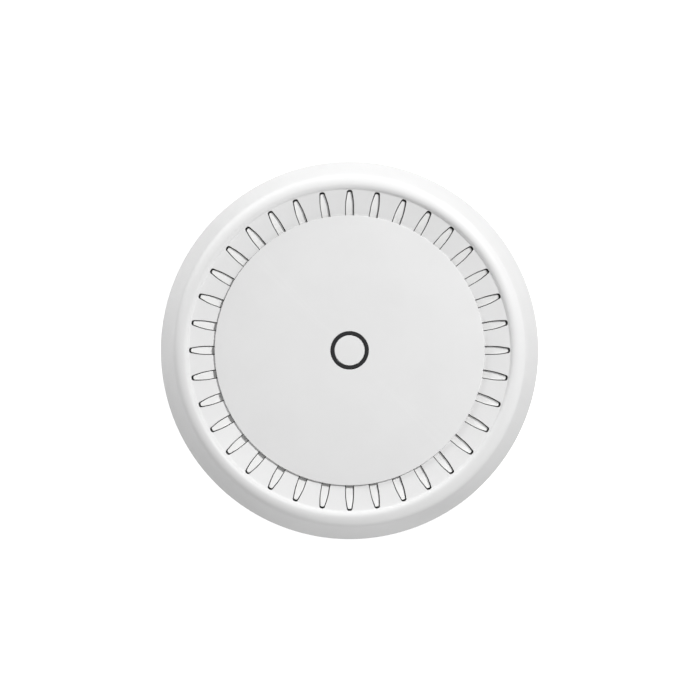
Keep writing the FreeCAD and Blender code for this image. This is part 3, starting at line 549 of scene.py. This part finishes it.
def painted_shade_under_pads(tree, tint, height):
    """Painted shade on the baffle: its colour is darkened below the pads' tops, where the clearance
    round them opens and shade falls.
    """
    _, deck, slope = trough()
    place = node(tree, "TexCoord").outputs["Object"]
    flat = node(tree, "VectorMath", {"operation": "MULTIPLY"}, {0: place, 1: (1, 1, 0)}).outputs[0]
    radius = node(tree, "VectorMath", {"operation": "LENGTH"}, {0: flat}).outputs["Value"]
    height_there = node(tree, "SeparateXYZ", None, {0: place}).outputs["Z"]
    level = math_node(tree, "SUBTRACT", height_there, math_node(tree, "MULTIPLY", radius, slope))
    below_edge = 0.25 * MM
    limit = deck[1] - deck[0] * slope - cover_sizes().pad_drop - below_edge
    # Mask of the painted shade: the baffle lower than the pads' tops, less a small edge.
    under = math_node(tree, "LESS_THAN", level, limit)
    # The painted shade is the baffle's colour at 0.3 of its brightness.
    return blended(tree, under, tint, shade(colours().baffle, 0.3)), height


def white_baffle():
    # The baffle's lighter colour is painted light that offsets the shade in the slots.
    base = shade(colours().baffle, 1.0)
    return finish(
        "White Vent Baffle With Painted Light And Shade", base, shade(base, 0.985), (0.5, 0.6), fine=2400.0, depth=0.000012,
        # The pattern paints shade on the baffle below its pads' tops.
        dust=0.02, pattern=painted_shade_under_pads, constants={"IOR": 1.46},
    )


def white_ring():
    base = shade(colours().bracket, 1.0)
    return finish(
        "White Moulded Bracket", base, shade(base, 0.97), (0.5, 0.62), fine=1800.0, depth=0.00002,
        wear=0.2, dust=0.04, constants={"IOR": 1.46},
    )


def smoked_ring():
    base = shade(colours().smoke, 1.0)
    return finish(
        "Smoked Light Ring", base, shade(base, 1.12), (0.2, 0.28), fine=1500.0, slow=120.0,
        slow_share=0.6, depth=0.000006, wear=0.1, constants={"IOR": 1.5},
    )


def clear_guide():
    return finish(
        "Clear Light Guide", (0.93, 0.95, 0.95, 1), (0.90, 0.93, 0.94, 1), (0.12, 0.22), fine=900.0,
        depth=0.00001, constants={"Transmission Weight": 0.85, "IOR": 1.58},
    )


def dark_plastic():
    return finish(
        "Dark Moulded Plastic", (0.028, 0.029, 0.031, 1), (0.034, 0.034, 0.035, 1), (0.45, 0.6),
        fine=2200.0, depth=0.00002, wear=0.3, worn=(0.09, 0.09, 0.09, 1), dust=0.05,
    )


def board_pattern(tree, tint, height):
    """Copper runs under the mask, as bands of a stepped noise, with plated pads between them."""
    place = node(tree, "TexCoord").outputs["Object"]
    square = {"feature": "F1", "distance": "CHEBYCHEV"}
    cells = node(tree, "TexVoronoi", square, {"Vector": place, "Scale": 420.0}).outputs["Distance"]
    edges = {"feature": "DISTANCE_TO_EDGE"}
    runs = node(tree, "TexVoronoi", edges, {"Vector": place, "Scale": 260.0}).outputs["Distance"]
    line = math_node(tree, "MULTIPLY", between(tree, runs, 1.0, 0.0, 0.05, 0.09), 0.6)
    pad = math_node(tree, "LESS_THAN", cells, 0.09)
    tint = blended(tree, line, tint, shade(colours().board, 1.9))
    tint = blended(tree, pad, tint, (0.55, 0.45, 0.22, 1))
    return tint, math_node(tree, "ADD", line, height)


def circuit_board():
    base = shade(colours().board, 1.0)
    return finish(
        "Circuit Board", base, shade(base, 0.8), (0.28, 0.4), fine=2600.0, depth=0.00002,
        dust=0.06, pattern=board_pattern, constants={"Coat Weight": 0.4, "Coat Roughness": 0.2},
    )


def steel_screw():
    return finish(
        "Plated Screw Steel", (0.62, 0.61, 0.58, 1), (0.55, 0.54, 0.51, 1), (0.28, 0.42),
        fine=3200.0, depth=0.00001, wear=0.4, worn=(0.78, 0.77, 0.75, 1),
        constants={"Metallic": 1.0},
    )


def tinned_steel():
    return finish(
        "Tinned Sheet Steel", (0.70, 0.70, 0.68, 1), (0.60, 0.60, 0.59, 1), (0.24, 0.42),
        drift=160.0, depth=0.00001, streaks=(700.0, (1.0, 0.05, 1.0)), wear=0.2,
        constants={"Metallic": 1.0},
    )


def spreader_metal():
    return finish(
        "Cast Heat Spreader", (0.50, 0.51, 0.52, 1), (0.43, 0.44, 0.45, 1), (0.42, 0.6),
        fine=1500.0, depth=0.00005, wear=0.4, worn=(0.75, 0.75, 0.75, 1), dust=0.05,
        constants={"Metallic": 1.0},
    )


def gold_contact():
    return finish(
        "Plated Contact", (0.83, 0.60, 0.24, 1), (0.76, 0.53, 0.20, 1), (0.18, 0.32), fine=3200.0,
        depth=0.000006, wear=0.2, constants={"Metallic": 1.0},
    )


def chip_black():
    return finish(
        "Chip Resin", (0.022, 0.022, 0.023, 1), (0.030, 0.030, 0.031, 1), (0.5, 0.66), fine=3600.0,
        depth=0.00002, wear=0.2, worn=(0.07, 0.07, 0.07, 1), dust=0.06,
    )


def ferrite_grey():
    return finish(
        "Ferrite Choke", (0.085, 0.086, 0.09, 1), (0.12, 0.12, 0.125, 1), (0.55, 0.75), fine=1400.0,
        depth=0.00005, drift=300.0, wear=0.3, worn=(0.2, 0.2, 0.2, 1),
    )


def capacitor_can():
    return finish(
        "Capacitor Can", (0.66, 0.67, 0.68, 1), (0.58, 0.59, 0.60, 1), (0.24, 0.36), depth=0.00001,
        streaks=(1200.0, (1.0, 1.0, 0.05)), wear=0.2, constants={"Metallic": 1.0},
    )


def ceramic_tan():
    return finish(
        "Chip Capacitor Ceramic", (0.36, 0.27, 0.19, 1), (0.30, 0.22, 0.16, 1), (0.4, 0.55),
        fine=3600.0, depth=0.00001, drift=700.0,
    )


def lamp_white():
    return finish(
        "Status Lamp Resin", (0.86, 0.85, 0.76, 1), (0.82, 0.80, 0.68, 1), (0.25, 0.4), fine=2600.0,
        depth=0.00001, drift=900.0,
        constants={"Subsurface Weight": 0.2, "Subsurface Scale": 0.0005},
    )


def thermal_pad():
    return finish(
        "Thermal Pad", (0.34, 0.43, 0.52, 1), (0.29, 0.38, 0.47, 1), (0.7, 0.85), fine=1400.0,
        depth=0.00006, drift=260.0, dust=0.1,
    )


def lead_jacket():
    return finish(
        "Lead Jacket", (0.035, 0.035, 0.037, 1), (0.05, 0.05, 0.052, 1), (0.35, 0.5), fine=2400.0,
        depth=0.00001, drift=200.0, wear=0.15, worn=(0.1, 0.1, 0.1, 1),
    )


def label_pattern(tree, tint, height):
    """A plain printed border and blank fields, with no lettering."""
    place = node(tree, "TexCoord").outputs["Object"]
    bricks = node(
        tree, "TexBrick", {"offset": 0.0},
        {
            "Vector": place, "Scale": 1.0, "Mortar Size": 0.00012, "Mortar Smooth": 0.2,
            "Brick Width": 0.0115, "Row Height": 0.005,
            "Color1": (1, 1, 1, 1), "Color2": (1, 1, 1, 1), "Mortar": (0, 0, 0, 1),
        },
    )
    line = math_node(tree, "MULTIPLY", bricks.outputs["Fac"], 0.75)
    return blended(tree, line, tint, (0.2, 0.2, 0.21, 1)), height


def label_film():
    return finish(
        "Blank Rating Label", (0.60, 0.61, 0.62, 1), (0.55, 0.56, 0.57, 1), (0.32, 0.45),
        fine=2600.0, depth=0.000008, drift=120.0, pattern=label_pattern,
        constants={"Coat Weight": 0.3},
    )


finishes = {}


def finish_for(slot):
    """The finish of a material slot of the record, made once."""
    makers = {
        "white_housing": white_housing,
        "white_ring": white_ring,
        "smoked_ring": smoked_ring,
        "clear_guide": clear_guide,
        "dark_plastic": dark_plastic,
        "circuit_board": circuit_board,
        "steel_screw": steel_screw,
        "tinned_steel": tinned_steel,
        "spreader_metal": spreader_metal,
        "gold_contact": gold_contact,
        "chip_black": chip_black,
        "ferrite_grey": ferrite_grey,
        "capacitor_can": capacitor_can,
        "ceramic_tan": ceramic_tan,
        "lamp_white": lamp_white,
        "thermal_pad": thermal_pad,
        "lead_jacket": lead_jacket,
        "label_film": label_film,
    }
    if slot not in finishes:
        finishes[slot] = makers[slot]()
    return finishes[slot]


def dress(*names):
    """Gives CAD nodes their finishes, by the slots that their meshes came with."""
    for name in names:
        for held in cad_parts[name].material_slots:
            held.material = finish_for(held.material.name)


# ---- Pieces of the face -------------------------------------------------------------------------
def inset_section(corners, distance):
    """The same section moved inwards by a wall, with its corners' roundings to match."""
    moved = []
    points = [Vector(corner[:2]) for corner in corners]
    along = [(b - a).normalized() for a, b in zip(points, points[1:])]
    along = [along[0]] + along + [along[-1]]
    for here, before, after, corner in zip(points, along, along[1:], corners):
        inwards = [Vector((-side.y, side.x)) for side in (before, after)]
        mitre = (inwards[0] + inwards[1]) / (1 + inwards[0].dot(inwards[1]))
        bend = before.cross(after)
        rounding = corner[2] + (-distance if bend > 0 else distance) if corner[2] else 0
        moved.append((here.x + mitre.x * distance, here.y + mitre.y * distance, max(rounding, 0)))
    return moved


def cover_outline():
    """Outer side of the cover's section, from the seam over the rim to the bore."""
    s = cover_sizes()
    crest = s.radius - (s.top - s.seam) * math.tan(s.lean)
    across = s.outer_round * math.tan((math.pi / 2 - s.lean) / 2)
    inner = crest - across - s.crest_flat - s.inner_round * math.tan(s.rim_slope / 2)
    foot = inner - s.rim_drop / math.tan(s.rim_slope)
    foot_z = s.top - s.rim_drop
    deck_z = foot_z - s.deck_drop
    return [
        (s.radius, s.seam, 0),
        (crest, s.top, s.outer_round),
        (inner, s.top, s.inner_round),
        (foot, foot_z, s.foot_round),
        (s.deck_radius, deck_z, s.deck_round),
        (face_sizes().bore_radius, deck_z, 0),
    ]


def trough():
    """The trough's upper and lower corners in the section, and its slope between them."""
    foot, deck = cover_outline()[3:5]
    return foot, deck, (foot[1] - deck[1]) / (foot[0] - deck[0])


def vent_forms(inner, levels, shorter=0.0):
    """The form of a vent slot, grown by a margin at each level above the trough, at every slot."""
    s = cover_sizes()
    foot, deck, slope = trough()
    tip = foot[0] - 0.3 * MM
    taper_round, tip_round = 25 * MM, 1.1 * MM
    bm = bmesh.new()
    rows = []
    for margin, level in levels:
        half, tip_half = s.slot_half + margin, s.slot_tip_half + margin
        side = [
            (inner, half, 0),
            (tip - s.slot_taper, half, taper_round),
            (tip + margin - shorter, tip_half, tip_round + margin),
        ]
        old = set(bm.edges)
        outline(bm, side + [(x, -y, rounding) for x, y, rounding in reversed(side)], level=level)
        rows.append([edge for edge in bm.edges if edge not in old])
    for row in (rows[0], rows[-1]):
        bmesh.ops.contextual_create(bm, geom=row)
    for lower, upper in zip(rows, rows[1:]):
        bmesh.ops.bridge_loops(bm, edges=lower + upper)
    shear = Matrix.Identity(4)
    shear[2][0] = slope
    shear[2][3] = deck[1] - slope * deck[0]
    bmesh.ops.transform(bm, matrix=shear, verts=bm.verts)
    bmesh.ops.recalc_face_normals(bm, faces=bm.faces)
    return repeated(bm, s.slots)


def slot_cutter():
    """The vent slots' tool, which flares where it meets the trough."""
    lip = cover_sizes().slot_lip
    levels = [(0.0, -3.4 * MM), (0.0, -lip)]
    for turn in (30, 60):
        lean = math.radians(turn)
        levels.append((lip * (1 - math.cos(lean)), -lip * (1 - math.sin(lean))))
    levels.append((levels[-1][0] + lip, levels[-1][1] + lip * math.tan(math.radians(30))))
    levels.append((levels[-1][0], 3 * MM))
    return vent_forms(cover_sizes().deck_radius, levels)


def vent_pads():
    """The baffle's pads that stand in the slots, with broken edges."""
    s = cover_sizes()
    side, top, edge = -s.pad_gap, -s.pad_drop, 0.1 * MM
    levels = [
        (side, top - 3.2 * MM),
        (side, top - edge),
        (side - 0.3 * edge, top - 0.3 * edge),
        (side - edge, top),
    ]
    return vent_forms(baffle_inner + s.pad_gap, levels, s.pad_tip_gap - s.pad_gap)


def baffle_level(radius):
    """Height of the baffle's top, which leans a little less than the trough."""
    s = cover_sizes()
    foot, deck, slope = trough()
    low = deck[1] + (baffle_inner - deck[0]) * slope - s.wall - s.baffle_inner_gap
    high = foot[1] - s.wall - s.baffle_outer_gap
    return low + (high - low) * (radius - baffle_inner) / (baffle_outer - baffle_inner)


def stake_head_level():
    """Height where the stakes' heads meet the baffle's lower side."""
    return baffle_level(stake_circle - stake_head_radius) - baffle_thickness


def stakes(margin=0.0):
    """The cover's stakes, or with a margin the tool of their holes in the baffle."""
    head = stake_head_level()
    low, high = head - 0.4 * MM, head + 3.9 * MM + 8 * margin
    stake = rod(stake_radius + margin, low, high, stake_circle, 24)
    return repeated(stake, stake_count, stake_turn)


def stake_heads():
    high = stake_head_level()
    low = high - stake_head_height
    head = rod(stake_head_radius, low, high, stake_circle, 32, stake_head_radius - 0.3 * MM)
    return repeated(head, stake_count, stake_turn)


class ACCESS_POINT_OT_front_cover(Operator):
    """Rim, vented trough and deck, with the screw bosses and stakes behind them"""

    bl_idname = "access_point.front_cover"
    bl_label = "Front Cover"

    def execute(self, context):
        s = cover_sizes()
        skin = cover_outline()
        inner = inset_section(skin, s.wall)
        inner[0] = (skin[0][0] - s.wall / math.cos(s.lean), s.seam, 0)
        shell = turned(skin + inner[::-1])
        boss = rod(boss_radius, boss_low, boss_high, boss_circle)
        shell = combined(shell, [mirrored_pairs(boss, boss_turn)], "UNION")
        pilot = mirrored_pairs(rod(pilot_radius, pilot_low, pilot_high, boss_circle, 32), boss_turn)
        shell = combined(shell, [slot_cutter(), pilot, self.windows(skin[4][1])], "DIFFERENCE")
        added(shell, combined(stakes(), [stake_heads()], "UNION"))
        piece(shell, "front_cover", "unit", finish_for("white_housing"))
        return {"FINISHED"}

    def windows(self, deck_z):
        """The tool of the deck's windows that the disc's snap legs pass through."""
        inner = snap_circle - snap_half_thickness - 0.2 * MM
        outer = snap_circle + snap_half_thickness + 0.4 * MM
        half = snap_half_width + 0.2 * MM
        window = block((inner, -half, deck_z - 3 * MM), (outer, half, deck_z + MM))
        return repeated(window, snap_count)


class ACCESS_POINT_OT_vent_baffle(Operator):
    """Leaning ring behind the slots that hides the inside and lets air round its edge"""

    bl_idname = "access_point.vent_baffle"
    bl_label = "Vent Baffle"

    def execute(self, context):
        inner, outer = baffle_inner, baffle_outer
        ring = turned(
            [
                (inner, baffle_level(inner) - baffle_thickness, 0.15 * MM),
                (outer, baffle_level(outer) - baffle_thickness, 0.15 * MM),
                (outer, baffle_level(outer), 0.3 * MM),
                (inner, baffle_level(inner), 0.3 * MM),
            ]
        )
        holes = stakes(0.1 * MM)
        notch = rod(boss_radius + 0.5 * MM, 30 * MM, 40 * MM, boss_circle, 64)
        ring = combined(ring, [vent_pads()], "UNION")
        ring = combined(ring, [holes, mirrored_pairs(notch, boss_turn)], "DIFFERENCE")
        piece(ring, "vent_baffle", "unit", white_baffle())
        return {"FINISHED"}


class ACCESS_POINT_OT_face_disc(Operator):
    """Flat disc with a thin lip over the vents, a ring foot and six snap legs"""

    bl_idname = "access_point.face_disc"
    bl_label = "Face Disc"

    def execute(self, context):
        s = face_sizes()
        edge, top, bore, low = s.disc_radius, s.disc_top, s.bore_radius, disc_low.z
        under, lip = top - 1.6 * MM, 2.8 * MM
        disc = turned(
            [
                (bore, under, 0.05 * MM),
                (edge - lip, under, 0.1 * MM),
                (edge - lip, top - MM, 0.3 * MM),
                (edge, top - MM, 0.12 * MM),
                (edge, top, s.disc_round),
                (bore, top, 0.15 * MM),
            ]
        )
        root = under + 0.8 * MM
        foot = turned(
            [
                (edge - 12.4 * MM, low + 3 * MM, 0.1 * MM),
                (edge - 11 * MM, low + 3 * MM, 0.1 * MM),
                (edge - 11 * MM, root, 0),
                (edge - 12.4 * MM, root, 0),
            ],
            steps=180,
        )
        half, round_edge = snap_half_width, 0.3 * MM
        inner, outer = snap_circle - snap_half_thickness, snap_circle + snap_half_thickness
        sides = [(inner, -half), (outer, -half), (outer, half), (inner, half)]
        leg = upright([(x, y, round_edge) for x, y in sides], low, root)
        barb_top = low + 0.9 * MM
        barb = upright(
            [
                (snap_circle, low, 0),
                (outer, low, 0),
                (outer + 0.9 * MM, barb_top, 0.05 * MM),
                (snap_circle, barb_top, 0),
            ],
            -half,
            half,
        )
        turn = Matrix.Rotation(math.pi / 2, 3, "X")
        bmesh.ops.rotate(barb, verts=barb.verts, cent=(0, 0, 0), matrix=turn)
        legs, barbs = repeated(leg, snap_count), repeated(barb, snap_count)
        disc = combined(disc, [foot, legs, barbs], "UNION")
        piece(disc, "face_disc", "unit", finish_for("white_housing"))
        return {"FINISHED"}


class ACCESS_POINT_OT_light_ring(Operator):
    """Smoked ring round the button that the status light shows through"""

    bl_idname = "access_point.light_ring"
    bl_label = "Light Ring"

    def execute(self, context):
        s = face_sizes()
        low, high = ring_low.z, ring_high.z
        ring = turned(
            [
                (s.ring_inner, low, 0.05 * MM),
                (s.ring_outer, low, 0.05 * MM),
                (s.ring_outer, high, 0.14 * MM),
                (s.ring_inner, high, 0.14 * MM),
            ]
        )
        piece(ring, "light_ring", "unit", finish_for("smoked_ring"))
        return {"FINISHED"}


class ACCESS_POINT_OT_mode_button(Operator):
    """Round cap level with the face, on a flange and the stem that presses the switch"""

    bl_idname = "access_point.mode_button"
    bl_label = "Mode Button"

    def execute(self, context):
        s = face_sizes()
        flange_high = ring_low.z - 0.2 * MM
        flange_low = flange_high - MM
        stem = 2.4 * MM
        cap = turned(
            [
                (0, button_low.z, 0),
                (stem, button_low.z, 0.25 * MM),
                (stem, flange_low, 0.3 * MM),
                (button_high.x, flange_low, 0.1 * MM),
                (button_high.x, flange_high, 0.1 * MM),
                (s.button_radius, flange_high, 0.1 * MM),
                (s.button_radius, button_high.z, s.button_round),
                (0, button_high.z, 0),
            ],
            steps=180,
            closed=False,
        )
        piece(cap, "mode_button", "mode_button", finish_for("white_housing"))
        return {"FINISHED"}


# ---- Parts that keep their CAD shapes -----------------------------------------------------------
class ACCESS_POINT_OT_back(Operator):
    """Finishes of the mounting ring, the back shell and its label"""

    bl_idname = "access_point.back"
    bl_label = "Back Housing and Mount"

    def execute(self, context):
        dress("mounting_ring", "base_shell", "rating_label", "reset_button")
        return {"FINISHED"}


class ACCESS_POINT_OT_screws(Operator):
    """Finishes of the screws and standoffs"""

    bl_idname = "access_point.screws"
    bl_label = "Screws"

    def execute(self, context):
        dress("case_screws", "board_screws", "spreader_screws", "spreader_standoffs")
        return {"FINISHED"}


class ACCESS_POINT_OT_jacks(Operator):
    """Finishes of the two network jacks"""

    bl_idname = "access_point.jacks"
    bl_label = "Network Jacks"

    def execute(self, context):
        for number in (1, 2):
            for part in ("shield", "insert", "contacts"):
                dress(f"ethernet_jack_{number}_{part}")
        return {"FINISHED"}


class ACCESS_POINT_OT_board(Operator):
    """Finishes of the circuit board and everything mounted on it"""

    bl_idname = "access_point.board"
    bl_label = "Circuit Board"

    def execute(self, context):
        dress(
            "main_board", "status_leds", "processor", "memory_chips", "radio_chips",
            "thermal_pads", "lan_transformers", "power_inductors", "bulk_capacitors",
            "power_regulators", "crystals", "chip_capacitors", "coax_sockets",
            "radio_shield_2ghz", "radio_shield_5ghz", "processor_shield",
            "mode_switch_body", "mode_switch_plunger", "reset_switch_body",
            "reset_switch_plunger",
        )
        return {"FINISHED"}


class ACCESS_POINT_OT_inside(Operator):
    """Finishes of the heat spreader, the light guide and the antennas with their leads"""

    bl_idname = "access_point.inside"
    bl_label = "Inside Parts"

    def execute(self, context):
        dress("heat_spreader", "light_guide", "antenna_brackets", "coax_plugs")
        for band in ("antenna_2ghz_a", "antenna_2ghz_b", "antenna_5ghz_a", "antenna_5ghz_b"):
            dress(band, band + "_lead")
        return {"FINISHED"}


# ---- Stage --------------------------------------------------------------------------------------
def floor_finish():
    """Plain pale floor that looks nearly white, and that the back is seen and lit through."""
    material = bpy.data.materials.new("Pale Floor")
    material.use_nodes = True
    tree = material.node_tree
    shader = tree.nodes["Principled BSDF"]
    base = shade(colours().floor, 1.0)
    tint = placed(tree, "drift", {"Colour": base, "Second Colour": shade(base, 0.99), "Scale": 3.0})
    tree.links.new(tint.outputs[0], shader.inputs["Base Color"])
    shader.inputs["Roughness"].default_value = 0.8
    glow = node(tree, "Emission", None, {"Color": (1, 1, 1, 1)})
    path = node(tree, "LightPath").outputs
    seen = path["Is Camera Ray"]
    tree.links.new(math_node(tree, "MULTIPLY", seen, 0.85), glow.inputs["Strength"])
    both = node(tree, "AddShader", None, {0: shader.outputs[0], 1: glow.outputs[0]})
    below = node(tree, "NewGeometry").outputs["Backfacing"]
    back_reach = 12 * MM
    close = math_node(tree, "LESS_THAN", path["Ray Length"], back_reach)
    from_back = math_node(tree, "SUBTRACT", close, seen, clamp=True)
    open_floor = math_node(tree, "MAXIMUM", below, from_back)
    clear = node(tree, "BsdfTransparent")
    either = node(tree, "MixShader", None, {0: open_floor, 1: both.outputs[0], 2: clear.outputs[0]})
    tree.links.new(either.outputs[0], tree.nodes["Material Output"].inputs["Surface"])
    return material


def soft_box(name, azimuth, elevation, size, watts, distance=1.4):
    """An area light that faces the object, azimuth counted from +X towards +Y."""
    light = bpy.data.lights.new(name, "AREA")
    light.shape, light.size, light.size_y, light.energy = "RECTANGLE", *size, watts
    lamp = bpy.data.objects.new(name, light)
    turn, lift = math.radians(azimuth), math.radians(elevation)
    flat = math.cos(lift)
    towards = Vector((math.cos(turn) * flat, math.sin(turn) * flat, math.sin(lift)))
    lamp.location = towards * distance
    lamp.rotation_euler = towards.to_track_quat("Z", "Y").to_euler()
    bpy.context.scene.collection.objects.link(lamp)
    return lamp


class ACCESS_POINT_OT_stage(Operator):
    """Camera over the face, pale floor and soft studio light"""

    bl_idname = "access_point.stage"
    bl_label = "Stage"

    def execute(self, context):
        scene = context.scene
        camera = bpy.data.cameras.new("Camera")
        camera.type, camera.ortho_scale = "ORTHO", 0.354
        camera.clip_start, camera.clip_end = 0.01, 10.0
        eye = bpy.data.objects.new("Camera", camera)
        eye.location = (0.0002, 0.0002, 0.8)
        scene.collection.objects.link(eye)
        scene.camera = eye
        bm = bmesh.new()
        bmesh.ops.create_grid(bm, x_segments=1, y_segments=1, size=3.0)
        bmesh.ops.translate(bm, verts=bm.verts, vec=(0, 0, -0.05 * MM))
        floor = as_object(bm, "floor")
        floor.data.materials.append(floor_finish())
        world = bpy.data.worlds.new("Studio")
        world.use_nodes = True
        lights = scene.access_point_lights
        sky = world.node_tree.nodes["Background"]
        sky.inputs["Color"].default_value = (1, 1, 1, 1)
        sky.inputs["Strength"].default_value = lights.sky
        scene.world = world
        soft_box("Key Light", 41, 46, (0.14, 0.14), lights.key)
        soft_box("Broad Light", 138, 9, (1.2, 0.6), lights.broad)
        soft_box("Fill Light", 272, 14, (1.0, 0.7), lights.fill)
        scene.view_settings.view_transform = "Standard"
        return {"FINISHED"}


class ACCESS_POINT_PT_sidebar(Panel):
    """Lists the sizes, the colours and a button for each piece"""

    bl_idname = "ACCESS_POINT_PT_sidebar"
    bl_label = "Access Point"
    bl_space_type = "VIEW_3D"
    bl_region_type = "UI"
    bl_category = "Access Point"

    def draw(self, context):
        for title, settings in (
            ("Cover", cover_sizes()),
            ("Face", face_sizes()),
            ("Colours", colours()),
            ("Lights", context.scene.access_point_lights),
        ):
            box = self.layout.box()
            box.label(text=title)
            for key in settings.__annotations__:
                box.prop(settings, key)
        for step in steps:
            self.layout.operator(step.bl_idname)


steps = (
    ACCESS_POINT_OT_stage,
    ACCESS_POINT_OT_front_cover,
    ACCESS_POINT_OT_vent_baffle,
    ACCESS_POINT_OT_face_disc,
    ACCESS_POINT_OT_light_ring,
    ACCESS_POINT_OT_mode_button,
    ACCESS_POINT_OT_back,
    ACCESS_POINT_OT_screws,
    ACCESS_POINT_OT_jacks,
    ACCESS_POINT_OT_board,
    ACCESS_POINT_OT_inside,
)
classes = (CoverSizes, FaceSizes, Colours, Lights) + steps + (ACCESS_POINT_PT_sidebar,)


def register():
    for made in classes:
        bpy.utils.register_class(made)
    bpy.types.Scene.access_point_cover = PointerProperty(type=CoverSizes)
    bpy.types.Scene.access_point_face = PointerProperty(type=FaceSizes)
    bpy.types.Scene.access_point_colours = PointerProperty(type=Colours)
    bpy.types.Scene.access_point_lights = PointerProperty(type=Lights)


def unregister():
    del bpy.types.Scene.access_point_lights
    del bpy.types.Scene.access_point_colours
    del bpy.types.Scene.access_point_face
    del bpy.types.Scene.access_point_cover
    for made in reversed(classes):
        bpy.utils.unregister_class(made)


def main():
    register()
    bpy.ops.access_point.stage()
    bpy.ops.access_point.front_cover()
    bpy.ops.access_point.vent_baffle()
    bpy.ops.access_point.face_disc()
    bpy.ops.access_point.light_ring()
    bpy.ops.access_point.mode_button()
    bpy.ops.access_point.back()
    bpy.ops.access_point.screws()
    bpy.ops.access_point.jacks()
    bpy.ops.access_point.board()
    bpy.ops.access_point.inside()


if __name__ == "__main__":
    main()
